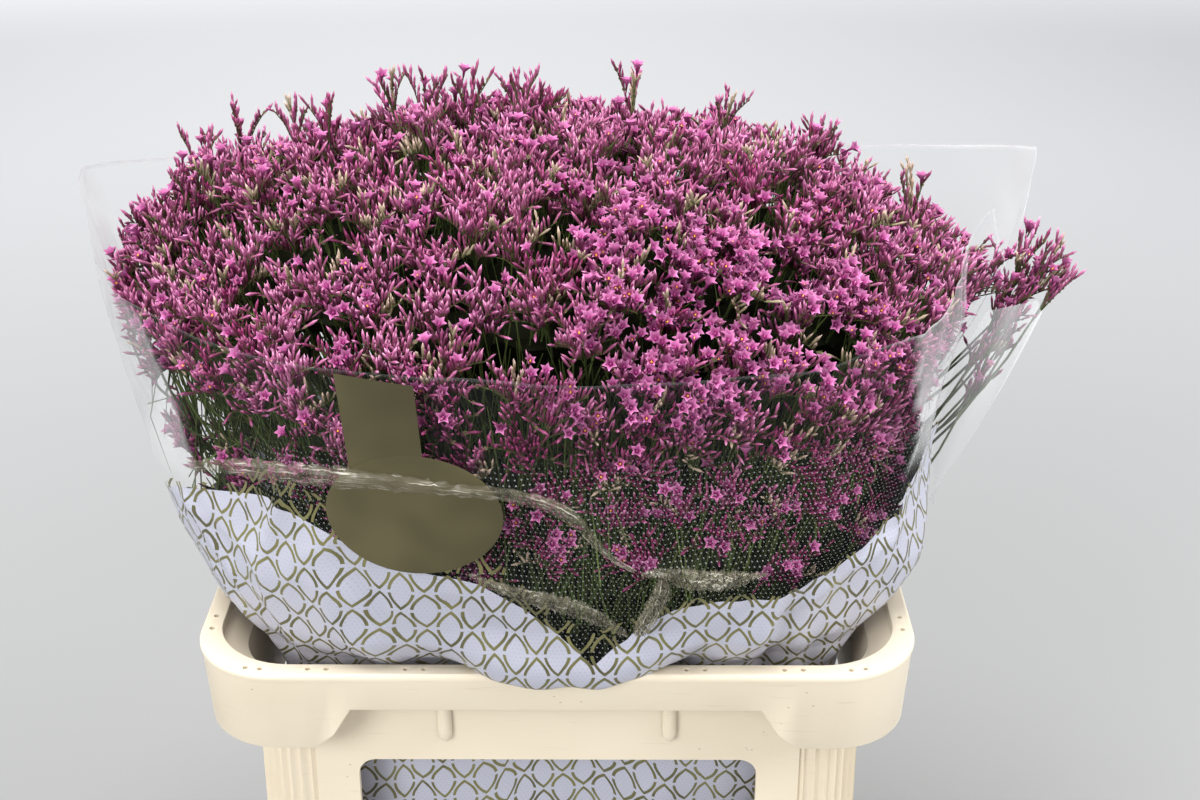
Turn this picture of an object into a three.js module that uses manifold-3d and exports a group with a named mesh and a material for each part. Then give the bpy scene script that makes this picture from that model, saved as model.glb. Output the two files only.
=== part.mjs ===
// A bunch of statice in a printed film sleeve, standing in a two-piece flower bucket.
// Millimetres, +Z up. The origin is the middle of the tub's underside and -Y is the front.

import * as THREE from 'three';
import { mergeVertices } from 'three/addons/utils/BufferGeometryUtils.js';
import ManifoldModule from 'manifold-3d';

const wasm = await ManifoldModule();
wasm.setup();

// Bucket: a tub with a windowed collar that stands in it
const rimHeight = 400;
const rimWidth = 400;
const rimDepth = 300;
const rimCorner = 47;
const rimDeck = 12;
const rimThick = 6;
const rimBevel = 1.5;
const skirtDrop = 25;
const skirtCornerDrop = 50;
const skirtCornerLength = 72;
const skirtTaper = 4;
const skirtWall = 4;
const collarWidth = 350;
const collarDepth = 250;
const collarCorner = 38;
const collarWall = 4.5;
const collarFoot = 152;
const collarFootInset = 9;
const tubHeight = 190;
const tubWall = 4;
const tubBaseWidth = 318;
const tubBaseDepth = 218;
const tubBaseCorner = 30;
const tubEase = 1;
const tubBead = 7;
const tubBeadHeight = 12;
const windowTop = 327;
const windowBottom = 226;
const frontWindowWidth = 226;
const sideWindowWidth = 136;
const windowCorner = 10;
const hangRibWidth = 8;
const hangRibDepth = 16;
const hangRibHeight = 32;
const hangRibX = 63;
const ledge = 0.2;
const restGap = 0.3;
const cutPast = 1;
const baseOutline = { width: tubBaseWidth, depth: tubBaseDepth, radius: tubBaseCorner };
const wallOutline = { width: collarWidth, depth: collarDepth, radius: collarCorner };
const rimOutline = { width: rimWidth, depth: rimDepth, radius: rimCorner };

// Sleeve: half width and half depth of its outside at heights over the rim, and how square it is
const filmWall = 1;
const sleeveProfile = [
  { rise: -335, halfWidth: 118, halfDepth: 82, squareness: 2.6 },
  { rise: -160, halfWidth: 146, halfDepth: 100, squareness: 3.2 },
  { rise: -60, halfWidth: 155, halfDepth: 106, squareness: 3.6 },
  { rise: -3, halfWidth: 175, halfDepth: 131, squareness: 3.8 },
  { rise: 6, halfWidth: 190, halfDepth: 144, squareness: 3.4 },
  { rise: 20, halfWidth: 205, halfDepth: 157, squareness: 3.0 },
  { rise: 60, halfWidth: 228, halfDepth: 171, squareness: 2.6 },
  { rise: 130, halfWidth: 248, halfDepth: 182, squareness: 2.3 },
  { rise: 245, halfWidth: 270, halfDepth: 190, squareness: 2.2 },
];
// Towards its top the film's front right side curls in and the panel behind the seam flares out
const bends = [
  { angle: 336, reach: 26, inset: 24 },
  { angle: 9, reach: 20, inset: -14 },
];
const bendFrom = 100;
const bendTo = 230;
// Height of the sleeve's top edge over the rim, by angle in degrees from +X towards the back
const edgeProfile = [
  { angle: -2, rise: 136 },
  { angle: 10, rise: 238 },
  { angle: 50, rise: 204 },
  { angle: 90, rise: 192 },
  { angle: 140, rise: 206 },
  { angle: 180, rise: 236 },
  { angle: 205, rise: 212 },
  { angle: 235, rise: 190 },
  { angle: 300, rise: 186 },
  { angle: 320, rise: 198 },
  { angle: 342, rise: 232 },
  { angle: 358, rise: 136 },
];
const sleeveSides = 24;

// Label: a strap from the sleeve's top edge down to a disc
const labelX = -76;
const labelRise = 101;
const labelLean = 0.13;
const strapWidth = 40;
const strapLength = 97;
const discRadius = 44;
const labelWall = 0.8;

// Statice: every spray runs up a fan whose rays meet at one point under the rim
const sprayCount = 24;
const spiralRadius = 0.95;
const spiralTurn = -9;
const apexDepth = 330;
const fanSlopeX = 0.494;
const fanSlopeY = 0.349;
const stemFoot = 5;
const stemFootShare = 0.72;
const stemKnee = 170;
const gatherDepth = 60;
const stemRadius = 2.4;
const stemTaper = 0.15;
const branchRadius = 1.3;
const domeRise = 290;
const domeDrop = 90;
const domeLean = 10;
const domeHalfWidth = 262;
const domeHalfDepth = 186;
const headInset = 20;
const shoulderRise = 200;
const sideShare = 0.62;
const lowestFloret = 56;
const crownDepth = 19;
const lumpSize = 4;
const floretLength = 17;
const floretLean = 0.25;
const shortestFloret = 3;
// Sprays in the middle and those round the rim: rings of florets, depth of the core, spread of twigs
const innerSpray = { rings: 4, shift: 1.07, heartDepth: 26, twigSpread: 0.15 };
const rimSpray = { rings: 5, shift: 1.2, heartDepth: 47, twigSpread: 0.26 };
const rimSprayFrom = 0.72;
const twigsEach = 2;
const tuftCore = 7;
const openFloretRadius = 8.5;
const openFloretShare = 0.035;
const cellGap = 0.8;
const filmClearance = 6.5;
const leanOverRise = 14;
const leanOverShare = 1.04;
const outsideShare = 1.025;
// Tufts that stand up out of the dome, and a few that lean out through the sleeve's open seam
const sprigs = [
  { x: -198, y: 4, rise: 264 },
  { x: -172, y: 22, rise: 273 },
  { x: -72, y: 14, rise: 298 },
  { x: -48, y: -2, rise: 297 },
];
const seamSprigs = [
  { x: 275, y: -5, rise: 168 },
  { x: 273, y: -3, rise: 192 },
];

const apex = new THREE.Vector3(0, 0, rimHeight - apexDepth);
const up = new THREE.Vector3(0, 0, 1);

function seededRandom(seed) {
  let state = seed >>> 0;
  return () => {
    state = (state + 0x6d2b79f5) >>> 0;
    let t = state;
    t = Math.imul(t ^ (t >>> 15), t | 1);
    t ^= t + Math.imul(t ^ (t >>> 7), t | 61);
    return ((t ^ (t >>> 14)) >>> 0) / 4294967296;
  };
}

function solidOf(geometry) {
  const bare = geometry.clone();
  bare.deleteAttribute('normal');
  bare.deleteAttribute('uv');
  const merged = mergeVertices(bare, 1e-3);
  return new wasm.Manifold(new wasm.Mesh({
    numProp: 3,
    vertProperties: Float32Array.from(merged.attributes.position.array),
    triVerts: Uint32Array.from(merged.index.array),
  }));
}

// The main body alone: sealed hollows are filled and loose scraps dropped
function mainBody(solid) {
  return solid.decompose().reduce((best, body) => (body.volume() > best.volume() ? body : best));
}

function geometryOf(solid) {
  const mesh = solid.getMesh();
  const geometry = new THREE.BufferGeometry();
  geometry.setAttribute('position', new THREE.BufferAttribute(mesh.vertProperties, 3));
  geometry.setIndex(new THREE.BufferAttribute(mesh.triVerts, 1));
  geometry.computeVertexNormals();
  return geometry;
}

// Joins rings of equal length, lowest first, and closes both ends
function loft(rings) {
  const count = rings[0].length;
  const positions = rings.flat().flatMap((p) => [p.x, p.y, p.z]);
  const index = [];
  for (let level = 0; level + 1 < rings.length; level++) {
    for (let i = 0; i < count; i++) {
      const a = level * count + i;
      const b = level * count + (i + 1) % count;
      index.push(a, b, b + count, a, b + count, a + count);
    }
  }
  const top = (rings.length - 1) * count;
  for (let i = 1; i + 1 < count; i++) {
    index.push(0, i + 1, i);
    index.push(top, top + i, top + i + 1);
  }
  const geometry = new THREE.BufferGeometry();
  geometry.setAttribute('position', new THREE.Float32BufferAttribute(positions, 3));
  geometry.setIndex(index);
  return geometry;
}

function roundedRing(width, depth, radius, z, steps = 3) {
  const ring = [];
  for (let corner = 0; corner < 4; corner++) {
    const cx = (corner === 0 || corner === 3 ? 1 : -1) * (width / 2 - radius);
    const cy = (corner < 2 ? 1 : -1) * (depth / 2 - radius);
    for (let step = 0; step <= steps; step++) {
      const angle = (corner + step / steps) * Math.PI / 2;
      ring.push(new THREE.Vector3(cx + radius * Math.cos(angle), cy + radius * Math.sin(angle), z));
    }
  }
  return ring;
}

function roundedBlock(sections) {
  return solidOf(loft(sections.map((s) => roundedRing(s.width, s.depth, s.radius, s.z))));
}

// An outline grown on every side, at a height
function grown(outline, by, z) {
  const { width, depth, radius } = outline;
  return { width: width + 2 * by, depth: depth + 2 * by, radius: radius + by, z };
}

// A rounded rectangle in the XZ plane pushed along Y, then turned about Z
function windowCutter(width, bottom, top, turn) {
  const shape = new THREE.Shape();
  const half = width / 2;
  const r = windowCorner;
  shape.moveTo(-half + r, bottom);
  shape.lineTo(half - r, bottom);
  shape.absarc(half - r, bottom + r, r, -Math.PI / 2, 0);
  shape.lineTo(half, top - r);
  shape.absarc(half - r, top - r, r, 0, Math.PI / 2);
  shape.lineTo(-half + r, top);
  shape.absarc(-half + r, top - r, r, Math.PI / 2, Math.PI);
  shape.lineTo(-half, bottom + r);
  shape.absarc(-half + r, bottom + r, r, Math.PI, Math.PI * 1.5);
  const geometry = new THREE.ExtrudeGeometry(shape, {
    depth: rimWidth * 1.2,
    bevelEnabled: false,
    curveSegments: 3,
  });
  geometry.translate(0, 0, -rimWidth * 0.6);
  geometry.rotateX(Math.PI / 2);
  geometry.rotateZ(turn);
  return solidOf(geometry);
}

function box(width, depth, height, x, y, z) {
  return solidOf(new THREE.BoxGeometry(width, depth, height).translate(x, y, z + height / 2));
}

function makeTub() {
  const beadBottom = tubHeight - tubBeadHeight;
  const outside = roundedBlock([
    grown(baseOutline, 0, 0),
    grown(wallOutline, tubEase, beadBottom),
    grown(wallOutline, tubEase + tubBead, beadBottom + ledge),
    grown(wallOutline, tubEase + tubBead, tubHeight),
  ]);
  const inside = roundedBlock([
    grown(baseOutline, -tubWall, tubWall),
    grown(wallOutline, tubEase - tubWall, tubHeight + cutPast),
  ]);
  return outside.subtract(inside);
}

// The collar's wall and rim as one block: a narrow foot inside the tub, a ledge on the tub's bead
function collarBody() {
  const seat = tubHeight + restGap;
  return roundedBlock([
    grown(wallOutline, -collarFootInset - tubEase, collarFoot),
    grown(wallOutline, -collarFootInset, seat),
    grown(wallOutline, tubEase, seat + ledge),
    grown(wallOutline, 0, rimHeight - skirtCornerDrop),
    grown(rimOutline, -rimDeck + collarWall, rimHeight - rimThick),
    grown(rimOutline, -rimBevel, rimHeight - rimThick + ledge),
    grown(rimOutline, 0, rimHeight - rimBevel),
    grown(rimOutline, -rimBevel, rimHeight),
  ]);
}

function collarHollow() {
  return roundedBlock([
    grown(wallOutline, -collarFootInset - tubEase - collarWall, collarFoot - cutPast),
    grown(wallOutline, -collarFootInset - collarWall, tubHeight),
    grown(wallOutline, -collarWall, tubHeight + 3 * collarWall),
    grown(wallOutline, -collarWall, rimHeight - skirtCornerDrop),
    grown(rimOutline, -rimDeck, rimHeight - rimThick - 2),
    grown(rimOutline, -rimDeck, rimHeight + cutPast),
  ]);
}

// The skirt hangs from the rim, and deeper at the corners
function collarSkirt() {
  const bottom = rimHeight - skirtCornerDrop;
  const outside = roundedBlock([
    grown(rimOutline, -skirtTaper, bottom),
    grown(rimOutline, -rimBevel, rimHeight - rimThick + 1),
  ]);
  const inside = roundedBlock([
    grown(rimOutline, -skirtTaper - skirtWall, bottom - cutPast),
    grown(rimOutline, -rimBevel - skirtWall, rimHeight - rimThick + 2),
  ]);
  const height = skirtCornerDrop - skirtDrop + cutPast;
  const frontGap = rimWidth - 2 * skirtCornerLength;
  const sideGap = rimDepth - 2 * skirtCornerLength;
  return outside
    .subtract(inside)
    .subtract(box(frontGap, rimDepth * 1.2, height, 0, 0, bottom - cutPast))
    .subtract(box(rimWidth * 1.2, sideGap, height, 0, 0, bottom - cutPast));
}

function makeCollar() {
  let collar = collarBody().add(collarSkirt()).subtract(collarHollow());
  const ribBottom = rimHeight - skirtCornerDrop + 2;
  for (const side of [-1, 1]) {
    for (const face of [-1, 1]) {
      const ribY = face * (collarDepth + hangRibDepth - 2) / 2;
      collar = collar.add(box(hangRibWidth, hangRibDepth, hangRibHeight, side * hangRibX, ribY, ribBottom));
    }
  }
  collar = collar.subtract(windowCutter(frontWindowWidth, windowBottom, windowTop, 0));
  return collar.subtract(windowCutter(sideWindowWidth, windowBottom, windowTop, Math.PI / 2));
}

// Reads a table of rows at one value of a key, straight between its rows
function readProfile(table, key, value, wanted) {
  if (value <= table[0][key]) return table[0][wanted];
  for (let i = 1; i < table.length; i++) {
    if (value <= table[i][key]) {
      const share = (value - table[i - 1][key]) / (table[i][key] - table[i - 1][key]);
      return THREE.MathUtils.lerp(table[i - 1][wanted], table[i][wanted], share);
    }
  }
  return table[table.length - 1][wanted];
}

function edgeRise(angle) {
  const degrees = THREE.MathUtils.radToDeg(angle);
  const wrapped = ((degrees + 2) % 360 + 360) % 360 - 2;
  return readProfile(edgeProfile, 'angle', wrapped, 'rise');
}

// How far the film is bent inwards
function bentIn(angle, rise) {
  const degrees = THREE.MathUtils.radToDeg(angle);
  const lift = THREE.MathUtils.smoothstep(rise, bendFrom, bendTo);
  return bends.reduce((sum, bend) => {
    const apart = Math.abs(((degrees - bend.angle + 180) % 360 + 360) % 360 - 180);
    return sum + bend.inset * lift * THREE.MathUtils.smoothstep(1 - apart / bend.reach, 0, 1);
  }, 0);
}

function sectionAt(z) {
  const rise = z - rimHeight;
  return {
    a: readProfile(sleeveProfile, 'rise', rise, 'halfWidth'),
    b: readProfile(sleeveProfile, 'rise', rise, 'halfDepth'),
    n: readProfile(sleeveProfile, 'rise', rise, 'squareness'),
  };
}

// A point of the sleeve at an angle and height, inset from its outside
function sleevePoint(angle, z, inset) {
  const { a, b, n } = sectionAt(z);
  const c = Math.cos(angle);
  const s = Math.sin(angle);
  const reach = (Math.abs(c) ** n + Math.abs(s) ** n) ** (-1 / n);
  const sunk = inset + bentIn(angle, z - rimHeight);
  return new THREE.Vector3((a - sunk) * c * reach, (b - sunk) * s * reach, z);
}

// The angle whose sleeve point lies in the direction of x and y, and how far out x and y are
function sleevePlace(x, y, z) {
  const { a, b, n } = sectionAt(z);
  const angle = Math.atan2(y / b, x / a);
  const bent = bentIn(angle, z - rimHeight);
  const share = (Math.abs(x / (a - bent)) ** n + Math.abs(y / (b - bent)) ** n) ** (1 / n);
  return { angle, share, halfDepth: b };
}

function sleeveAngles() {
  const degrees = [];
  for (let i = 0; i < sleeveSides; i++) degrees.push(i * 360 / sleeveSides);
  degrees.push(352, 358, 10);
  return degrees
    .filter((d) => d !== 0)
    .sort((p, q) => p - q)
    .map(THREE.MathUtils.degToRad);
}

// A closed shell between two insets from the sleeve's outside, open at the top and the bottom
function sleeveShell(outerInset, innerInset) {
  const angles = sleeveAngles();
  const rim = sleeveProfile.findIndex((row) => row.rise > 50);
  const low = sleeveProfile.slice(0, rim).map((row) => () => rimHeight + row.rise);
  const high = [0.25, 0.6, 1].map((share) => (angle) => {
    const start = sleeveProfile[rim - 1].rise;
    return rimHeight + THREE.MathUtils.lerp(start, edgeRise(angle), share);
  });
  const levels = [...low, ...high];
  const skins = [outerInset, innerInset].map((inset) => levels.map(
    (height) => angles.map((angle) => sleevePoint(angle, height(angle), inset)),
  ));
  const rings = [...skins[0], ...skins[1].reverse()];
  const count = angles.length;
  const index = [];
  for (let level = 0; level < rings.length; level++) {
    const next = (level + 1) % rings.length;
    for (let i = 0; i < count; i++) {
      const j = (i + 1) % count;
      const [a, b] = [level * count + i, level * count + j];
      const [c, d] = [next * count + i, next * count + j];
      if (level < levels.length) index.push(a, b, d, a, d, c);
      else index.push(a, b, c, b, d, c);
    }
  }
  const geometry = new THREE.BufferGeometry();
  const positions = rings.flat().flatMap((p) => [p.x, p.y, p.z]);
  geometry.setAttribute('position', new THREE.Float32BufferAttribute(positions, 3));
  geometry.setIndex(index);
  return solidOf(geometry);
}

// The label lies on the film: a thin shell over the sleeve, cut to the strap's and disc's outline
function makeLabel() {
  const neck = Math.sqrt(discRadius ** 2 - (strapWidth / 2) ** 2);
  const start = Math.atan2(neck, -strapWidth / 2);
  const shape = new THREE.Shape();
  shape.moveTo(strapWidth / 2, strapLength);
  shape.lineTo(-strapWidth / 2, strapLength);
  shape.absarc(0, 0, discRadius, start, Math.PI - start + 2 * Math.PI, false);
  const geometry = new THREE.ExtrudeGeometry(shape, {
    depth: rimDepth,
    bevelEnabled: false,
    curveSegments: 10,
  });
  geometry.rotateZ(labelLean).rotateX(Math.PI / 2).translate(labelX, 0, rimHeight + labelRise);
  return sleeveShell(-restGap - labelWall, -restGap).intersect(solidOf(geometry));
}

// Sprays are spread over a unit disc in a sunflower's order, and each owns the ground nearest to it
function sprayPlaces() {
  const golden = Math.PI * (3 - Math.sqrt(5));
  const places = [];
  for (let k = 0; k < sprayCount; k++) {
    const radius = spiralRadius * Math.sqrt((k + 0.5) / sprayCount);
    const angle = k * golden + THREE.MathUtils.degToRad(spiralTurn);
    places.push(new THREE.Vector2(radius * Math.cos(angle), radius * Math.sin(angle)));
  }
  return places;
}

// Planes through the apex that part one spray's ground from every other's
function cellWalls(places, k) {
  const walls = [];
  places.forEach((place, j) => {
    if (j === k) return;
    const toward = place.clone().sub(places[k]);
    const middle = (place.lengthSq() - places[k].lengthSq()) / 2;
    const normal = new THREE.Vector3(toward.x / fanSlopeX, toward.y / fanSlopeY, -middle);
    walls.push(new THREE.Plane().setFromNormalAndCoplanarPoint(normal.normalize(), apex));
  });
  return walls;
}

function inCell(walls, point, gap) {
  return walls.every((wall) => wall.distanceToPoint(point) < -gap);
}

function onFan(place, z) {
  const spread = z - apex.z;
  return new THREE.Vector3(place.x * fanSlopeX * spread, place.y * fanSlopeY * spread, z);
}

function domeHeight(x, y) {
  const out = Math.hypot(x / domeHalfWidth, y / domeHalfDepth);
  return rimHeight + domeRise - domeDrop * out ** 2.6 - domeLean * x / domeHalfWidth;
}

// The bunch's outside as one round map: 0 is the crown, 1 the shoulder, and the rest runs down the side
function headPoint(mapX, mapY, sink = 0) {
  const out = Math.hypot(mapX, mapY);
  const angle = Math.atan2(mapY, mapX);
  const shoulder = sleevePoint(angle, rimHeight + shoulderRise, headInset + sink);
  const share = Math.min(out, 1);
  const x = shoulder.x * share;
  const y = shoulder.y * share;
  const crown = new THREE.Vector3(x, y, domeHeight(x, y) - crownDepth - sink);
  if (out <= 1) return crown;
  const z = THREE.MathUtils.lerp(crown.z, rimHeight + lowestFloret, (out - 1) / sideShare);
  return sleevePoint(angle, z, headInset + sink);
}

// Draws a point back towards a centre until it may stand there
function heldBack(point, centre, allowed) {
  if (allowed(point)) return point;
  let low = 0;
  let high = 1;
  for (let i = 0; i < 12; i++) {
    const middle = (low + high) / 2;
    if (allowed(centre.clone().lerp(point, middle))) low = middle;
    else high = middle;
  }
  return centre.clone().lerp(point, low);
}

function pyramid(a, b, c, tip) {
  const geometry = new THREE.BufferGeometry();
  const positions = [a, b, c, tip].flatMap((p) => [p.x, p.y, p.z]);
  geometry.setAttribute('position', new THREE.Float32BufferAttribute(positions, 3));
  geometry.setIndex([0, 2, 1, 0, 1, 3, 1, 2, 3, 2, 0, 3]);
  return solidOf(geometry);
}

// An open floret: a funnel on a pointed foot, its mouth a star with five points
function openFloret(foot, outward, turn) {
  const side = new THREE.Vector3(1, 0, 0).cross(outward).normalize();
  const other = outward.clone().cross(side);
  const points = [foot.clone().addScaledVector(outward, -4)];
  points.push(foot.clone().addScaledVector(outward, 7));
  for (let i = 0; i < 10; i++) {
    const angle = turn + i * Math.PI / 5;
    const reach = openFloretRadius * (i % 2 ? 0.45 : 1);
    const rise = i % 2 ? 9 : 11;
    const point = foot.clone().addScaledVector(outward, rise);
    point.addScaledVector(side, reach * Math.cos(angle)).addScaledVector(other, reach * Math.sin(angle));
    points.push(point);
  }
  const index = [];
  for (let i = 0; i < 10; i++) {
    const j = (i + 1) % 10;
    index.push(0, 2 + j, 2 + i, 1, 2 + i, 2 + j);
  }
  const geometry = new THREE.BufferGeometry();
  const positions = points.flatMap((p) => [p.x, p.y, p.z]);
  geometry.setAttribute('position', new THREE.Float32BufferAttribute(positions, 3));
  geometry.setIndex(index);
  return { points, solid: () => solidOf(geometry) };
}

// The florets that have opened are mostly on the dome's front right
function opensHere(p, random) {
  return p.x > 0 && p.y < -20 && p.z > rimHeight + edgeRise(1.5 * Math.PI) && random() < openFloretShare;
}

// One pointed floret on every face that the rule lets it stand on
function floretsOn(corners, faces, lean, random, allowed) {
  const florets = [];
  for (const [i, j, k] of faces) {
    const [a, b, c] = [corners[i], corners[j], corners[k]];
    const middle = a.clone().add(b).add(c).divideScalar(3);
    const outward = b.clone().sub(a).cross(c.clone().sub(a)).normalize();
    if (opensHere(middle, random)) {
      const flower = openFloret(middle, outward, random());
      if (flower.points.every(allowed)) {
        florets.push(flower.solid());
        continue;
      }
    }
    const length = floretLength * (0.7 + 0.6 * random());
    outward.addScaledVector(lean, floretLean).normalize();
    const tip = heldBack(middle.clone().addScaledVector(outward, length), middle, allowed);
    if (tip.distanceTo(middle) > shortestFloret) florets.push(pyramid(a, b, c, tip));
  }
  return florets;
}

// A round patch of triangles: a centre and rings of 6, 12, 18 points
function ringFaces(rings) {
  const faces = [];
  const first = (ring) => (ring === 0 ? 0 : 1 + 3 * ring * (ring - 1));
  for (let ring = 1; ring <= rings; ring++) {
    for (let side = 0; side < 6; side++) {
      for (let step = 0; step < ring; step++) {
        const outer = first(ring) + side * ring + step;
        const outerNext = first(ring) + (side * ring + step + 1) % (6 * ring);
        const count = Math.max(1, 6 * (ring - 1));
        const inner = first(ring - 1) + (side * (ring - 1) + step) % count;
        faces.push([outer, outerNext, inner]);
        if (step + 1 < ring) {
          const innerNext = first(ring - 1) + (side * (ring - 1) + step + 1) % count;
          faces.push([outerNext, innerNext, inner]);
        }
      }
    }
  }
  return faces;
}

// How far the round map stays a spray's own in one direction
function mapReach(centre, dx, dy, allowed) {
  const step = 0.01;
  const onMap = (x, y) => Math.hypot(x, y) < 1 + sideShare && allowed(headPoint(x, y));
  let reach = step;
  while (reach < 2 && onMap(centre.x + dx * reach, centre.y + dy * reach)) reach += step;
  return reach - step;
}

// The head of a spray: a core under its own part of the bunch's outside, and florets all over it
function makeHead(centre, rings, heart, random, allowed) {
  const phase = random() * 6;
  const corners = [];
  for (let ring = 0; ring <= rings; ring++) {
    const count = Math.max(1, 6 * ring);
    const stray = ring < rings ? 0.3 : 0;
    for (let i = 0; i < count; i++) {
      const angle = (i + 0.5 * (random() - 0.5)) * 2 * Math.PI / count;
      const [dx, dy] = [Math.cos(angle), Math.sin(angle)];
      const share = Math.min(1, (ring + stray * (random() - 0.5)) / rings);
      const out = share * mapReach(centre, dx, dy, allowed);
      const [x, y] = [centre.x + dx * out, centre.y + dy * out];
      const lump = lumpSize * (1 + Math.sin(x * 11 + phase) * Math.cos(y * 9 + phase));
      corners.push(heldBack(headPoint(x, y, lump), heart, allowed));
    }
  }
  const faces = ringFaces(rings);
  const edge = 6 * rings;
  const firstEdge = corners.length - edge;
  const under = [];
  for (let i = 0; i < edge; i++) {
    under.push([firstEdge + (i + 1) % edge, firstEdge + i, corners.length]);
  }
  const geometry = new THREE.BufferGeometry();
  const positions = [...corners, heart].flatMap((p) => [p.x, p.y, p.z]);
  geometry.setAttribute('position', new THREE.Float32BufferAttribute(positions, 3));
  geometry.setIndex([...faces, ...under].flat());
  return [solidOf(geometry), ...floretsOn(corners, faces, up, random, allowed)];
}

// A tuft on a twig of its own: a small ball whose outward faces carry the florets
function makeTuft(centre, axis, random, allowed) {
  const ball = new THREE.IcosahedronGeometry(tuftCore, 0);
  ball.deleteAttribute('normal');
  ball.deleteAttribute('uv');
  const merged = mergeVertices(ball, 1e-3);
  const turn = new THREE.Quaternion().setFromUnitVectors(up, axis);
  merged.applyQuaternion(turn).translate(centre.x, centre.y, centre.z);
  const corners = [];
  for (let i = 0; i < merged.attributes.position.count; i++) {
    corners.push(new THREE.Vector3().fromBufferAttribute(merged.attributes.position, i));
  }
  const faces = [];
  for (let f = 0; f < merged.index.count; f += 3) {
    const face = [merged.index.getX(f), merged.index.getX(f + 1), merged.index.getX(f + 2)];
    const middle = new THREE.Vector3();
    face.forEach((i) => middle.addScaledVector(corners[i], 1 / 3));
    if (middle.sub(centre).dot(axis) > -0.1 * tuftCore) faces.push(face);
  }
  return [solidOf(merged), ...floretsOn(corners, faces, axis, random, allowed)];
}

// A straight three-sided twig that narrows from its foot to its tip
function makeTwig(from, to, radius) {
  const length = from.distanceTo(to);
  const twig = new THREE.CylinderGeometry(radius * 0.75, radius, length, 3, 1);
  twig.rotateX(Math.PI / 2).translate(0, 0, length / 2);
  const turn = new THREE.Quaternion().setFromUnitVectors(up, to.clone().sub(from).normalize());
  twig.applyQuaternion(turn).translate(from.x, from.y, from.z);
  return solidOf(twig);
}

// The main stem: gathered in the tub, then out along its ray of the fan
function makeStem(place, topZ) {
  const gathered = onFan(place, rimHeight - gatherDepth);
  const foot = gathered.clone().multiplyScalar(stemFootShare).setZ(stemFoot);
  const knee = foot.clone().lerp(gathered, 0.5).setZ(stemKnee);
  const rings = [foot, knee, gathered, onFan(place, topZ)].map((p, i) => {
    const r = stemRadius * (1 - stemTaper * i);
    return [[r, 0], [0, r], [-r, 0], [0, -r]].map(([x, y]) => new THREE.Vector3(p.x + x, p.y + y, p.z));
  });
  return solidOf(loft(rings));
}

// A point keeps off the film, and may lean over its top edge only well above it
function clearOfFilm(p) {
  const { angle, share, halfDepth } = sleevePlace(p.x, p.y, p.z);
  if (share < 1 - filmClearance / halfDepth) return true;
  return p.z > rimHeight + edgeRise(angle) + leanOverRise && share < leanOverShare;
}

// A tuft beyond the film stays beyond it
function outsideFilm(p) {
  return sleevePlace(p.x, p.y, p.z).share > outsideShare;
}

function sprigPieces(place, sprig, random, allowed) {
  const centre = new THREE.Vector3(sprig.x, sprig.y, rimHeight + sprig.rise);
  const root = onFan(place, centre.z - 70);
  const axis = centre.clone().sub(root).normalize();
  return [makeTwig(root, centre, branchRadius), ...makeTuft(centre, axis, random, allowed)];
}

function makeSpray(k, places) {
  const place = places[k];
  const walls = cellWalls(places, k);
  const random = seededRandom(100 + k);
  const kind = place.length() > rimSprayFrom ? rimSpray : innerSpray;
  const inside = (p) => inCell(walls, p, cellGap) && clearOfFilm(p);
  const outside = (p) => inCell(walls, p, cellGap) && outsideFilm(p);
  const centre = place.clone().multiplyScalar(kind.shift);
  const heart = onFan(place, headPoint(centre.x, centre.y).z - kind.heartDepth);
  const pieces = [makeStem(place, heart.z + 4), ...makeHead(centre, kind.rings, heart, random, inside)];
  for (let i = 0; i < twigsEach; i++) {
    const angle = (i + random() * 0.6) * 2 * Math.PI / twigsEach;
    const x = centre.x + kind.twigSpread * Math.cos(angle);
    const y = centre.y + kind.twigSpread * Math.sin(angle);
    const end = heldBack(headPoint(x, y, crownDepth), heart, inside);
    pieces.push(makeTwig(onFan(place, end.z - 60 - 25 * random()), end, branchRadius));
  }
  const owned = ({ x, y, rise }) => inCell(walls, new THREE.Vector3(x, y, rimHeight + rise), 4);
  for (const sprig of sprigs.filter(owned)) {
    pieces.push(...sprigPieces(place, sprig, random, inside));
  }
  for (const sprig of seamSprigs.filter(owned)) {
    pieces.push(...sprigPieces(place, sprig, random, outside));
  }
  return mainBody(wasm.Manifold.union(pieces));
}

function material(color, roughness, metalness = 0) {
  return new THREE.MeshStandardMaterial({ color, roughness, metalness });
}

const creamPlastic = material(0xe9dfc6, 0.45);
const printedFilm = material(0xcfd0e2, 0.2);
const oliveFoil = material(0x6f6a35, 0.35, 0.4);
const staticePinks = [0xb44a92, 0xa63f86, 0xc05fa4];

const statice = new THREE.Group();

function addPiece(name, solid, look) {
  const mesh = new THREE.Mesh(geometryOf(solid), look);
  mesh.name = name;
  statice.add(mesh);
}

addPiece('tub', makeTub(), creamPlastic);
addPiece('collar', makeCollar(), creamPlastic);
addPiece('sleeve', sleeveShell(0, filmWall), printedFilm);
addPiece('label', makeLabel(), oliveFoil);

const places = sprayPlaces();
places.forEach((_, k) => {
  const name = `spray_${String(k + 1).padStart(2, '0')}`;
  addPiece(name, makeSpray(k, places), material(staticePinks[k % 3], 0.7));
});

export default statice;
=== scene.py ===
# A bunch of magenta statice in a printed film sleeve, standing in a cream flower bucket.
import math

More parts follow.
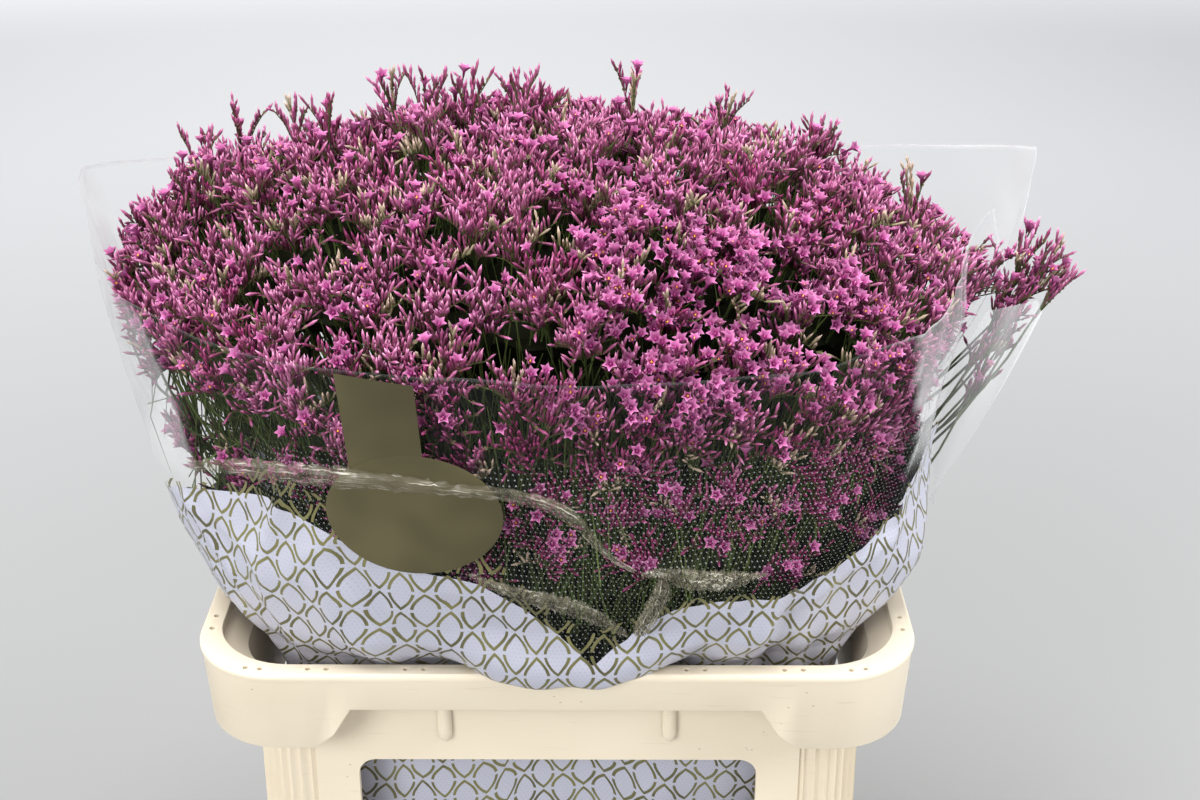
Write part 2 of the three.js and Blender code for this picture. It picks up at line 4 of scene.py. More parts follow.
import bmesh
import bpy
import numpy as np
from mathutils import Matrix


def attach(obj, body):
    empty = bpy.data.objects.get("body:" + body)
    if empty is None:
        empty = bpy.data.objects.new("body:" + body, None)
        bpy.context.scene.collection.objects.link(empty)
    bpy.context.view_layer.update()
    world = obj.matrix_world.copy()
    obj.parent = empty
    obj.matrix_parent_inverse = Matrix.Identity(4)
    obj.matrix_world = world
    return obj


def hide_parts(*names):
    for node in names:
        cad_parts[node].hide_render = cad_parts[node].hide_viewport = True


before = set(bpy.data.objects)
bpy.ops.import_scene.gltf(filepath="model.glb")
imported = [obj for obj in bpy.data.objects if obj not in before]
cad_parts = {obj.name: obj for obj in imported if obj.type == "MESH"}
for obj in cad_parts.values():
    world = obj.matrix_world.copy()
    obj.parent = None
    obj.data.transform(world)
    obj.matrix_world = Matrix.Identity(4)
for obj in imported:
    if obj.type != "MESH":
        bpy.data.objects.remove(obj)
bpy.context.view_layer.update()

mm = 0.001                      # sizes below are millimetres and turn into metres in each mesh

studio = {
    "cameraPlace": (27.3, -963.3, 944.4),
    "cameraDown": 25.08,        # degrees below level
    "cameraTurn": 0.22,
    "lens": 54,
    "sensor": 36,
    "floorHalf": 16000,
    # the floor's tones run from dark near the camera to light far off: painted shade near, painted light
    # far
    "floorShadeAndLightTones": ((0.291, 0.291, 0.288), (0.512, 0.512, 0.52), (0.97, 0.975, 0.98)),
    "floorReach": ((0.3, 2.4), (3, 4.8)),   # metres out, where each tone turns into the next
    "airTone": (0.95, 0.97, 1, 1),
    "air": 0.63,                # strength of the light from all round
}
lamps = {                       # place, what it looks at, size across, power in watts
    "overhead": ((-300, -300, 2600), (0, 0, 500), 1700, 84),
    "frontLeft": ((-1500, -2100, 1500), (0, 0, 450), 1300, 41),
    "sideRight": ((1900, -500, 1300), (0, 0, 500), 900, 30),
    "backWall": ((-500, 3500, 2600), (-500, 4100, 0), 3000, 64),
}


def makeCamera():
    data = bpy.data.cameras.new("studioCamera")
    data.lens = studio["lens"]
    data.sensor_width = studio["sensor"]
    holder = bpy.data.objects.new("studioCamera", data)
    holder.location = [v * mm for v in studio["cameraPlace"]]
    tilt, turn = 90 - studio["cameraDown"], studio["cameraTurn"]
    holder.rotation_euler = (math.radians(tilt), 0, math.radians(turn))
    bpy.context.scene.collection.objects.link(holder)
    bpy.context.scene.camera = holder


def makeLamp(name, place, target, size, power):
    data = bpy.data.lights.new(name, "AREA")
    data.shape = "DISK"
    data.size = size * mm
    data.energy = power
    holder = bpy.data.objects.new(name, data)
    start = np.array(place) * mm
    holder.location = start
    away = start - np.array(target) * mm
    across = math.hypot(away[0], away[1])
    holder.rotation_euler = (math.atan2(across, away[2]), 0, math.atan2(away[0], -away[1]))
    bpy.context.scene.collection.objects.link(holder)


# A shader socket that can stand in a sum
class Reading:
    def __init__(self, paint, socket):
        self.paint = paint
        self.socket = socket

    def __add__(self, other):
        return self.paint.maths("ADD", self, other)

    def __radd__(self, other):
        return self.paint.maths("ADD", other, self)

    def __sub__(self, other):
        return self.paint.maths("SUBTRACT", self, other)

    def __rsub__(self, other):
        return self.paint.maths("SUBTRACT", other, self)

    def __mul__(self, other):
        return self.paint.maths("MULTIPLY", self, other)

    def __rmul__(self, other):
        return self.paint.maths("MULTIPLY", other, self)

    def __truediv__(self, other):
        return self.paint.maths("DIVIDE", self, other)

    def __rtruediv__(self, other):
        return self.paint.maths("DIVIDE", other, self)

    def __lt__(self, other):
        return self.paint.maths("LESS_THAN", self, other)

    def __gt__(self, other):
        return self.paint.maths("GREATER_THAN", self, other)


# One material, its Principled shader and the nodes that vary it
class Paint:
    def __init__(self, name, **fixed):
        self.material = bpy.data.materials.new(name)
        self.material.use_nodes = True
        self.tree = self.material.node_tree
        self.shader = self.tree.nodes["Principled BSDF"]
        for word, value in fixed.items():
            self.shader.inputs[word.replace("_", " ")].default_value = value

    def node(self, kind, settings, sockets, output=0):
        made = self.tree.nodes.new("ShaderNode" + kind)
        for word, value in settings.items():
            setattr(made, word, value)
        for place, value in sockets.items():
            if isinstance(value, Reading):
                self.tree.links.new(value.socket, made.inputs[place])
            else:
                made.inputs[place].default_value = value
        return Reading(self, made.outputs[output])

    def feed(self, word, reading):
        self.tree.links.new(reading.socket, self.shader.inputs[word])

    def maths(self, operation, *terms):
        return self.node("Math", {"operation": operation}, dict(enumerate(terms)))

    def blend(self, factor, first, second, how="MIX"):
        first, second = [tone if isinstance(tone, Reading) else (*tone, 1) for tone in (first, second)]
        settings = {"data_type": "RGBA", "blend_type": how}
        return self.node("Mix", settings, {0: factor, 6: first, 7: second}, 2)

    def place(self):
        return self.node("TexCoord", {}, {}, "Object")

    # What addMesh has laid on the points under this name
    def mark(self, name, output="Vector"):
        return self.node("Attribute", {"attribute_name": name}, {}, output)

    def parts(self, vector):
        return [self.node("SeparateXYZ", {}, {0: vector}, axis) for axis in range(3)]

    def stretched(self, vector, scale):
        return self.node("Mapping", {}, {0: vector, 3: scale})

    def noise(self, scale, detail, vector=None):
        vector = vector or self.place()
        return self.node("TexNoise", {}, {"Scale": scale, "Detail": detail, "Vector": vector})

    def smooth(self, value, low, high):
        settings = {"interpolation_type": "SMOOTHSTEP"}
        return self.node("MapRange", settings, {"Value": value, "From Min": low, "From Max": high})

    def bump(self, height, strength, distance):
        sockets = {"Height": height, "Strength": strength, "Distance": distance * mm}
        self.feed("Normal", self.node("Bump", {}, sockets))


# Makes one mesh from points in millimetres; faces is a list of arrays of three or four corners
def addMesh(name, points, faces, paints, looks=None, marks=None):
    mesh = bpy.data.meshes.new(name)
    points = np.asarray(points, float).reshape(-1, 3)
    mesh.vertices.add(len(points))
    mesh.vertices.foreach_set("co", (points * mm).astype(np.float32).ravel())
    corners = np.concatenate([np.asarray(block).ravel() for block in faces])
    sizes = np.concatenate([np.full(len(block), np.shape(block)[1]) for block in faces])
    mesh.loops.add(len(corners))
    mesh.loops.foreach_set("vertex_index", corners.astype(np.int32))
    mesh.polygons.add(len(sizes))
    mesh.polygons.foreach_set("loop_start", (np.cumsum(sizes) - sizes).astype(np.int32))
    mesh.polygons.foreach_set("use_smooth", np.full(len(sizes), True))
    for paint in paints:
        mesh.materials.append(paint.material)
    if looks is not None:
        mesh.polygons.foreach_set("material_index", np.asarray(looks, np.int32))
    for word, values in (marks or {}).items():
        isColour = np.shape(values)[-1] == 4
        layer = mesh.attributes.new(word, "FLOAT_COLOR" if isColour else "FLOAT_VECTOR", "POINT")
        layer.data.foreach_set("color" if isColour else "vector", np.asarray(values, np.float32).ravel())
    mesh.update(calc_edges=True)
    piece = bpy.data.objects.new(name, mesh)
    bpy.context.scene.collection.objects.link(piece)
    return piece


# Quads between the rows of a grid of points, closed round each row if asked
def gridFaces(rows, columns, closed=False):
    across = np.arange(columns if closed else columns - 1)
    start = np.arange(rows - 1)[:, None] * columns
    after = (across + 1) % columns
    corners = [start + across, start + after, start + columns + after, start + columns + across]
    return np.stack(corners, -1).reshape(-1, 4)


def dress(piece, node):
    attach(piece, "root")
    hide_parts(node)


def unit(vectors):
    return vectors / np.maximum(np.linalg.norm(vectors, axis=-1, keepdims=True), 1e-9)


# Two directions square to each one given; the line is any that isn't along them
def squareTo(directions, line):
    side = unit(np.cross(directions, np.array(line)))
    return side, np.cross(directions, side)


def ease(value, low, high):
    share = np.clip((value - low) / (high - low), 0, 1)
    return share * share * (3 - 2 * share)


# 1 between the two inner values, fading to 0 at the outer ones
def between(value, start, full, fading, end):
    return ease(value, start, full) * (1 - ease(value, fading, end))


def bell(apart, width):
    return np.exp(-(apart / width) ** 2)


def fade(first, second, share):
    return np.asarray(first) * (1 - share) + np.asarray(second) * share


def readRows(rows, at, column=1):
    table = np.array(rows, float)
    return np.interp(at, table[:, 0], table[:, column])


# Every column after the first, read at the same places
def readColumns(rows, at):
    return [readRows(rows, at, column) for column in range(1, len(rows[0]))]


# Two grids that run from 0 to 1, one down the rows and one along them
def shareGrid(rows, columns):
    return np.meshgrid(np.linspace(0, 1, rows), np.linspace(0, 1, columns), indexing="ij")


# Degrees from one direction to another, the shorter way round
def degreesApart(angle, middle):
    return (angle - middle + 180) % 360 - 180


def makeStudio():
    floor = Paint("studioFloor", Roughness=0.9, Specular_IOR_Level=0.1)
    away = floor.node("VectorMath", {"operation": "LENGTH"}, {0: floor.place()}, "Value")
    # painted shade near the camera, painted light far off
    near, middle, far = studio["floorShadeAndLightTones"]
    first, second = studio["floorReach"]
    tone = floor.blend(floor.smooth(away, *first), near, middle)
    floor.feed("Base Color", floor.blend(floor.smooth(away, *second), tone, far))
    half = studio["floorHalf"]
    points = [(-half, -half, 0), (half, -half, 0), (half, half, 0), (-half, half, 0)]
    addMesh("studioFloor", points, [np.array([[0, 1, 2, 3]])], [floor])
    world = bpy.data.worlds.new("studioAir")
    world.use_nodes = True
    sky = world.node_tree.nodes["Background"]
    sky.inputs["Color"].default_value = studio["airTone"]
    sky.inputs["Strength"].default_value = studio["air"]
    bpy.context.scene.world = world
    bpy.context.scene.view_settings.view_transform = "Standard"
    for name, facts in lamps.items():
        makeLamp(name, *facts)


makeCamera()
makeStudio()
print("studio set")

# The film sleeve's form. Heights are over the bucket's rim and angles are degrees from +X to the back
rim = 400
film = {
    "form": (                   # rise, half width, half depth, squareness
        (-335, 118, 82, 2.6), (-160, 148, 102, 3.2), (-60, 165, 115, 6.5), (-25, 168, 118, 6.5),
        (-3, 182, 134, 5), (6, 191, 144, 4.2), (20, 205, 157, 3.2), (60, 228, 171, 2.6),
        (130, 248, 182, 2.3), (245, 270, 190, 2.2),
    ),
    "topEdge": (                # angle, rise
        (-2, 136), (10, 238), (50, 204), (90, 192), (140, 206), (180, 236), (205, 212), (235, 190),
        (300, 186), (320, 198), (342, 232), (358, 136),
    ),
    "bends": ((336, 26, 24), (9, 20, -14)),     # near the top: angle, reach either side, how far in
    "bendRises": (100, 230),
    "waist": (350, 46, 21),     # the same, where the right side is drawn in
    "waistRises": (28, 100, 120, 190),
    "printEdge": (              # angle, and the rise where the white print ends
        (0, 72), (30, 64), (90, 66), (150, 40), (188, 42), (203, 70), (215, 92), (234, 108),
        (242, 95), (250, 76), (260, 66), (266, 50), (271, 31), (275.5, 20), (281, 31), (286, 50),
        (303, 52), (312, 70), (322, 84), (332, 112), (341, 104), (351, 84), (360, 72),
    ),
    "latticeOver": (            # angle, and how far the gold lines go on past the white
        (0, 3), (228, 4), (235, 22), (262, 22), (270, 15), (281, 10), (290, 3), (360, 3),
    ),
    "hazeAndGlareEdges": (              # rise, then the two edges of the right band of painted glare and the left strip's inner edge
        (96, 320, 327, 221), (129, 318.5, 330, 221.5), (151, 316, 332, 222), (173, 314.5, 333, 221),
        (197, 313.5, 333, 219), (207, 312.5, 333, 215), (220, 312, 333, 208), (233, 315, 332, 190),
        (242, 323, 331, 184),
    ),
    "lip": {                    # hangs over the rim's front: x and rise where it swells and fades
        "across": (-70, -14, 22, 80),
        "rises": (-9, -5, 22, 34),
        "path": (               # rise, then the y and the height over the rim that it is drawn to
            (-9, -131, -9), (-4, -135, -2), (-1, -144, 2.4), (2, -149.6, 2.2), (4, -151.6, -1),
            (6, -152.8, -4.5), (9, -154.8, -5.5), (13, -157.4, 0), (18, -159.5, 8), (24, -159, 19),
            (34, -163, 34),
        ),
    },
}


def topEdge(angle):
    return readRows(film["topEdge"], (np.asarray(angle) + 2) % 360 - 2)


def filmBend(angle, rise):
    high = ease(rise, *film["bendRises"])
    waist = between(rise, *film["waistRises"])
    total = 0
    for lift, (middle, reach, inset) in [(high, bend) for bend in film["bends"]] + [(waist, film["waist"])]:
        apart = np.abs(degreesApart(angle, middle))
        total = total + inset * lift * ease(1 - apart / reach, 0, 1)
    return total


# A point of the film, sunk inwards by an amount
def filmPoint(angle, rise, sunk=0):
    halfWidth, halfDepth, power = readColumns(film["form"], rise)
    across, along = np.cos(np.radians(angle)), np.sin(np.radians(angle))
    reach = (np.abs(across) ** power + np.abs(along) ** power) ** (-1 / power)
    inward = sunk + filmBend(angle, rise)
    x = (halfWidth - inward) * across * reach
    y = (halfDepth - inward) * along * reach
    return np.stack([x, y, rim + rise + 0 * x], -1)


# The statice: a dome of sprays that fan out from one point far under the rim
bunch = {
    "sprays": 24,
    "apexDepth": 330,
    "slopes": (0.494, 0.349),
    "spiral": (0.95, -9),       # how far out the last spray stands, and the first one's angle
    "domeRise": 264,
    "domeDrop": 90,             # from its middle to its edge
    "domePower": 2.6,
    "domeLean": 10,             # lower towards +X
    "domeHalves": (262, 186),
    "shoulder": 200,
    "side": 0.62,               # length of the side on the round map
    "lowest": 56,
    "sideInset": 9,
    "seed": 7,
    "tries": 9000,              # places tried for a cluster
    "clusterGap": (22.5, 33, 6.5),  # on the dome, at the side's foot, and how much closer in front
    "combs": (9, 5),            # in a cluster, at its top and under it
    "sprigCombs": (4, 1),       # the same in a sprig that stands out
    "florets": 9,
    "clusterRadius": 19,
    "clusterDepth": 36,         # from its florets to the node where its combs start
    "lifted": (0.24, 15, 5),    # share of the clusters that stand up, how far, and how far others sink
    "liftFrom": 205,
    "floretLength": 8.6,
    "floretWidth": 0.86,
    "openShare": (0.045, 0.42), # everywhere, and on the front right
    "starLength": 10.5,
    "starSize": 3.7,
    "twigRadius": 0.95,
    "forkBelow": (80, 120, 45), # depth of a twig's fork under its node: usual, further, and least
    "branchRadius": 0.55,
    "filmGap": 13,              # from the combs' ends to the film
    "noFilm": -999,             # the gap that lets the sprigs stand out through it
    "heldOver": 6,              # how far over the film's edge it still holds the bunch in
}
stems = {
    "each": 7,                  # a thick one for each spray, and thinner ones beside it
    "stray": 0.11,
    "gatherRise": -60,
    "footShare": 0.72,          # how far out the feet are, against where the stems gather
    "footZ": 7,
    "kneeZ": 170,
    "topRises": (170, 60, 110), # the thick ones' tops, the thin ones' lowest and how much higher
    "radii": (2.3, 1.3),
    "steps": 13,
}
thicket = {                     # thin stalks among the clusters
    "stalks": 9500,
    "underDome": 0.42,          # share of them, the rest stand along the side
    "sunk": (13, 32),           # below the bunch's outside, and how much deeper
    "length": (34, 60),         # least, and how much longer
    "radius": (0.42, 0.3),      # least, and how much thicker
    "filmGap": 7,
}
heart = {                       # the near-black rough core under the florets: a sheet of painted shade where the bunch's inside lies in shadow
    "grid": (34, 96),
    "sink": 52,
    "roughness": 3,
    "neckShare": 0.66,
    "neckRise": -50,
}
tones = {                       # linear colours
    "tip": (0.74, 0.38, 0.56),
    "body": (0.34, 0.034, 0.165),
    "deep": (0.10, 0.008, 0.032),
    "base": (0.070, 0.066, 0.023),
    "pale": (0.42, 0.36, 0.20),
    "petal": (0.62, 0.235, 0.45),
    "throat": (0.33, 0.035, 0.19),
    "eye": (0.85, 0.45, 0.07),
    "stem": (0.045, 0.070, 0.018),
    "stemLight": (0.12, 0.17, 0.045),
    # near-black, for the painted shade inside the bunch
    "heart": (0.008, 0.009, 0.005),
}
raised = (                      # sprigs that stand out of the dome: x, y, rise, spread
    (-198, 4, 256, 17), (-176, 22, 266, 17), (-150, 14, 268, 15), (-206, -6, 240, 13),
    (-214, 6, 228, 11), (-236, 6, 212, 9), (-242, -2, 199, 8), (-72, 14, 288, 17),
    (-48, -2, 291, 15), (-98, 20, 282, 15), (-22, 12, 288, 13), (-186, -14, 250, 14),
    (40, 30, 284, 12), (150, 22, 256, 12), (96, 34, 268, 11), (-128, -4, 276, 12),
    (200, 10, 232, 12),
)
seam = (                        # and those that lean out through the open seam
    (272, -6, 186, 12), (283, -8, 194, 10), (266, -8, 202, 10), (289, -10, 180, 8), (258, -6, 176, 12),
    (268, -12, 170, 10), (256, -10, 158, 10), (262, -6, 148, 9), (250, -8, 138, 9), (252, -6, 190, 12),
    (247, -8, 118, 7), (276, -2, 174, 9),
)
sprigGroups = ((raised, 42, (0, 0, 1)), (seam, 40, (0.8, -0.1, 0.6)))   # depth of the node, lean


def domeHeight(x, y):
    across, along = bunch["domeHalves"]
    out = np.hypot(x / across, y / along)
    drop = bunch["domeDrop"] * out ** bunch["domePower"]
    return rim + bunch["domeRise"] - drop - bunch["domeLean"] * x / across


# The bunch's outside as a round map: 0 is the crown, 1 the shoulder, and the rest runs down the side
def headPoint(mapX, mapY, sunk=0):
    out = np.hypot(mapX, mapY)
    angle = np.degrees(np.arctan2(mapY, mapX))
    inset = bunch["sideInset"] + sunk
    shoulder = filmPoint(angle, bunch["shoulder"] + 0 * out, inset)
    share = np.minimum(out, 1)
    x, y = shoulder[..., 0] * share, shoulder[..., 1] * share
    z = domeHeight(x, y) - sunk
    drop = (out - 1) / bunch["side"]
    side = filmPoint(angle, z - rim + (bunch["lowest"] - z + rim) * np.clip(drop, 0, 1), inset)
    return np.where((out <= 1)[..., None], np.stack([x, y, z], -1), side)


# Pulls points that would stand through the film back inside it
def keepInside(points, gap):
    rise = points[..., 2] - rim
    halfWidth, halfDepth, power = readColumns(film["form"], rise)
    angle = np.degrees(np.arctan2(points[..., 1] / halfDepth, points[..., 0] / halfWidth))
    inward = gap + filmBend(angle, rise)
    past = (np.abs(points[..., 0] / (halfWidth - inward)) ** power
            + np.abs(points[..., 1] / (halfDepth - inward)) ** power) ** (1 / power)
    wrapped = rise < topEdge(angle) + bunch["heldOver"]
    shrink = np.where(wrapped, 1 / np.maximum(past, 1), 1)[..., None]
    return np.concatenate([points[..., :2] * shrink, points[..., 2:]], -1)


def headNormal(mapX, mapY):
    step = 0.03
    here = headPoint(mapX, mapY)
    right = headPoint(mapX + step, mapY) - here
    back = headPoint(mapX, mapY + step) - here
    return unit(np.cross(right, back))


def sprayPlaces():
    count = np.arange(bunch["sprays"])
    radius = bunch["spiral"][0] * np.sqrt((count + 0.5) / bunch["sprays"])
    angle = count * math.pi * (3 - math.sqrt(5)) + math.radians(bunch["spiral"][1])
    return np.stack([radius * np.cos(angle), radius * np.sin(angle)], -1)


def onFan(place, z):
    spread = z - (rim - bunch["apexDepth"])
    slopes = np.array(bunch["slopes"])
    return np.concatenate([place * slopes * spread[..., None], z[..., None]], -1)


# Which spray each point belongs to
def ownerOf(points):
    spread = points[:, 2] - (rim - bunch["apexDepth"])
    onMap = points[:, :2] / (np.array(bunch["slopes"]) * spread[:, None])
    return np.linalg.norm(onMap[:, None] - sprayPlaces()[None], axis=-1).argmin(1)


# Collects many copies of small shapes, each owned by a spray, and makes a mesh from each owner's share
class Gathering:
    def __init__(self):
        self.blocks = []

    def add(self, points, faces, colours, owners, look):
        self.blocks.append((points, np.asarray(faces), colours, owners, look))

    def piece(self, name, owner, paints):
        points, faces, colours, looks = [], [], [], []
        offset = 0
        for block, shape, tint, owners, look in self.blocks:
            chosen = np.nonzero(owners == owner)[0]
            if not len(chosen):
                continue
            copies = block[chosen]
            points.append(copies.reshape(-1, 3))
            colours.append(tint[chosen].reshape(-1, 3))
            starts = offset + np.arange(len(chosen)) * copies.shape[1]
            faces.append((starts[:, None, None] + shape[None]).reshape(-1, shape.shape[1]))
            looks.append(np.full(len(faces[-1]), look))
            offset += len(points[-1])
        colours = np.concatenate(colours)
        tint = np.concatenate([colours, np.ones((len(colours), 1))], 1)
        return addMesh(name, np.concatenate(points), faces, paints, np.concatenate(looks), {"tint": tint})


# Copies of a shape that stands along +Z, placed with their foot, direction, length and width
def placeCopies(shape, feet, directions, lengths, widths, spins):
    directions = unit(directions)
    side, other = squareTo(directions, (0.31, 0.92, 0.24))
    turn = np.stack([np.cos(spins), np.sin(spins)], -1)
    first = turn[:, :1] * side + turn[:, 1:] * other
    second = turn[:, :1] * other - turn[:, 1:] * side
    wide = widths[:, None, None]
    across = shape[None, :, 0, None] * first[:, None] * wide
    along = shape[None, :, 1, None] * second[:, None] * wide
    up = shape[None, :, 2, None] * directions[:, None] * lengths[:, None, None]
    return feet[:, None] + across + along + up


def ringOf(count, radius, height, turn=0.0):
    angle = (np.arange(count) + turn) * 2 * math.pi / count
    return np.stack([radius * np.cos(angle), radius * np.sin(angle), np.full(count, float(height))], -1)


def budShape():
    points = np.concatenate([ringOf(4, 0.6, 0), ringOf(4, 1.0, 0.66, 0.3), [[0, 0, 1]]])
    faces = []
    for i in range(4):
        j = (i + 1) % 4
        faces += [(i, j, 4 + j), (i, 4 + j, 4 + i), (4 + i, 4 + j, 8)]
    return points, np.array(faces)


# An open floret: a funnel whose mouth is a star with five points, and a small eye in it
def starShape():
    throat = ringOf(5, 0.22, 0.62)
    tips = ringOf(5, 1.0, 0.92)
    notches = ringOf(5, 0.55, 0.88, 0.5)
    eye = np.array([[0, 0, 0.86]])
    points = np.concatenate([[[0, 0, 0]], throat, tips, notches, ringOf(5, 0.2, 0.70), eye])
    faces = []
    for i in range(5):
        j = (i + 1) % 5
        faces += [(0, 1 + j, 1 + i), (1 + i, 11 + i, 6 + i), (1 + i, 1 + j, 11 + i), (1 + j, 6 + j, 11 + i)]
        faces.append((16 + i, 16 + j, 21))
    return points, np.array(faces)


def leafShape():
    points = np.array([(0, 0, 0), (0.5, 0.12, 0.45), (-0.5, 0.12, 0.45), (0, 0.0, 1.0)])
    return points, np.array([(0, 1, 2), (2, 1, 3)])


# Three-sided tubes along many paths at once
def tubes(paths, radii):
    count, steps = paths.shape[:2]
    side, other = squareTo(unit(np.gradient(paths, axis=1)), (0.42, 0.11, 0.33))
    ring = ringOf(3, 1, 0)
    points = paths[:, :, None] + radii[..., None, None] * (
        ring[None, None, :, 0, None] * side[:, :, None] + ring[None, None, :, 1, None] * other[:, :, None])
    return points.reshape(count, steps * 3, 3), gridFaces(steps, 3, True)


# Points of many arcs, each from its start to its end, drawn towards its control point
def arcs(start, control, end, share):
    first, second = (1 - share) ** 2 * start[:, None], 2 * share * (1 - share) * control[:, None]
    return first + second + share ** 2 * end[:, None]


def evenShares(steps):
    return np.linspace(0, 1, steps)[None, :, None]


# A green for every point of every tube or stalk
def greens(points, share):
    return fade(tones["stem"], tones["stemLight"], share) * np.ones((*points.shape[:2], 1))


# How bare of florets the bunch is at each point: its low left flank and its foot
def thinness(points):
    rise = points[..., 2] - rim
    left = ease(-points[..., 0], 105, 170) * (1 - ease(rise, 140, 190))
    foot = 1 - ease(rise, 60, 114)
    return np.maximum(left, foot)


def spreadClusters(random):
    many = bunch["tries"]
    limit = 1 + bunch["side"]
    out = limit * np.sqrt(random.random(many))
    turn = random.random(many) * 2 * math.pi
    mapX, mapY = out * np.cos(turn), out * np.sin(turn)
    points = headPoint(mapX, mapY)
    near, far, closer = bunch["clusterGap"]
    far = far - closer * ease(-points[:, 1], -30, 90)
    bare = thinness(points)
    gaps = (far + (near - far) * ease(points[:, 2] - rim, 90, 200)) * (1 + 0.45 * bare)
    kept = []
    for i in range(many):
        if random.random() < bare[i] * 0.97:
            continue
        if not kept or np.min(np.linalg.norm(points[kept] - points[i], axis=1)) > gaps[i]:
            kept.append(i)
    return points[kept], headNormal(mapX[kept], mapY[kept])


# The combs of every cluster: where each starts and ends, and which way its cluster faces
def makeCombs(random, places, normals, spread, counts, nodeDepth):
    top, under = counts
    each = top + under
    axis = unit(normals * 0.62 + np.array([0, 0, 0.62]) + random.normal(0, 0.13, normals.shape))
    depth = nodeDepth * (0.85 + 0.4 * random.random(len(places)))
    nodes = places - axis * depth[:, None]
    side, other = squareTo(axis, (0.2, 0.95, 0.1))
    order = np.arange(each)
    isTop = order < top
    radius = np.where(isTop, np.sqrt((order + 0.5) / top), 0.55 + 0.45 * random.random(each))
    angle = order * 2.4 + random.random(len(places))[:, None] * 6.3
    radius = radius * (0.85 + 0.3 * random.random(angle.shape)) * spread[:, None]
    drop = 0.011 * radius ** 2 + 5 * random.random(angle.shape)
    drop = drop + np.where(isTop, 0, 10 + 9 * random.random(each))
    ends = places[:, None] - axis[:, None] * drop[..., None]
    ends = ends + radius[..., None] * (
        np.cos(angle)[..., None] * side[:, None] + np.sin(angle)[..., None] * other[:, None])
    starts = np.repeat(nodes[:, None], each, 1)
    axes = np.repeat(axis[:, None], each, 1)
    return nodes, axis, [block.reshape(-1, 3) for block in (starts, ends, axes)]


# Closed florets, each with a small bract at its foot
def growBuds(gathering, random, feet, ways, base, tip, owners):
    chance = random.random(len(feet))
    shape, faces = budShape()
    length = bunch["floretLength"] * (0.75 + 0.5 * chance)
    width = bunch["floretWidth"] * (0.8 + 0.4 * chance)
    points = placeCopies(shape, feet, ways, length, width, chance * 6)
    vary = 0.82 + 0.36 * random.random((len(feet), 1))
    tint = np.zeros((len(feet), len(shape), 3))
    tint[:, :4] = fade(tones["base"], base, 0.5)[:, None]
    tint[:, 4:8] = (fade(base, tip, 0.28) * vary)[:, None]
    tint[:, 8:] = (tip * vary)[:, None]
    gathering.add(points, faces, tint, owners, 0)
    shape, faces = leafShape()
    points = placeCopies(shape, feet - ways * 0.6, ways, length * 0.52, np.full(len(feet), 2.6), chance * 6)
    tint = fade(tones["base"], tones["stemLight"], chance[:, None, None] * 0.6)
    gathering.add(points, faces, tint * np.ones((1, len(shape), 1)), owners, 1)


# Open florets, turned a little outwards and to the front
def growStars(gathering, random, feet, ways, axes, owners):
    chance = random.random(len(feet))
    shape, faces = starShape()
    ways = unit(ways + 0.5 * axes + np.array([0, -0.25, 0]))
    length = bunch["starLength"] + 2 * chance
    width = bunch["starSize"] * (0.8 + 0.4 * chance)
    points = placeCopies(shape, feet, ways, length, width, chance * 6)
    vary = 0.85 + 0.3 * random.random((len(feet), 1, 1))
    tint = np.zeros((len(feet), len(shape), 3))
    tint[:, 0] = tones["base"]
    tint[:, 1:6] = np.array(tones["throat"]) * vary
    tint[:, 6:11] = np.array(tones["petal"]) * vary
    tint[:, 11:16] = fade(tones["throat"], tones["petal"], 0.7) * vary
    tint[:, 16:] = np.where(chance[:, None, None] < 0.3, tones["eye"], tones["throat"])
    gathering.add(points, faces, tint, owners, 0)


# Rows of florets on one side of each arched branchlet, with the branchlet itself
def growCombs(gathering, random, starts, ends, axes, openShares, toneShiftsAndShade, gap):
    count, florets = len(starts), bunch["florets"]
    starts, ends = keepInside(starts, gap + 4), keepInside(ends, gap)
    owners = ownerOf(ends)
    reach = np.linalg.norm(ends - starts, axis=1)
    control = starts + axes * (reach * 0.66)[:, None] + random.normal(0, 1.5, starts.shape)
    control = keepInside(control, gap)
    radii = bunch["branchRadius"] * np.linspace(1.15, 0.6, 5)[None]
    points, faces = tubes(arcs(starts, control, ends, evenShares(5)), radii)
    gathering.add(points, faces, greens(points, random.random((count, 1, 1)) ** 2), owners, 1)

    order = np.arange(florets)
    share = 0.36 + 0.64 * (order + 0.75 + 0.2 * random.random((count, florets))) / florets
    share = np.minimum(share, 1)[..., None]
    feet = arcs(starts, control, ends, share)
    tangent = unit(2 * (1 - share) * (control - starts)[:, None] + 2 * share * (ends - control)[:, None])
    upward = unit(axes[:, None] + np.array([0, 0, 0.35]) - 0.6 * tangent)
    sideways = np.cross(tangent, upward) * np.where(order % 2, 1, -1)[None, :, None]
    rise = np.where(order == florets - 1, 0.15, 0.75)[None, :, None]
    ways = unit(tangent * 0.55 + upward * rise + sideways * 0.3 + random.normal(0, 0.12, feet.shape))

    mood = random.random(count)
    # each comb's brightness: a random shift, and painted shade low in the bunch
    bright = np.clip(random.normal(0.42, 0.24, count) + toneShiftsAndShade, 0, 1)[:, None]
    base = fade(tones["deep"], tones["body"], bright)
    tip = fade(tones["body"], tones["tip"], bright)
    young = mood > 0.93
    base[young] = fade(tones["base"], tones["pale"], 0.5)
    tip[young] = fade(tones["pale"], tones["tip"], 0.35)
    opened = random.random((count, florets)) < openShares[:, None] * (mood < 0.93)[:, None]
    at = np.nonzero(~opened)
    combs = at[0]
    growBuds(gathering, random, feet[at], ways[at], base[combs], tip[combs], owners[combs])
    at = np.nonzero(opened)
    combs = at[0]
    growStars(gathering, random, feet[at], ways[at], axes[combs], owners[combs])


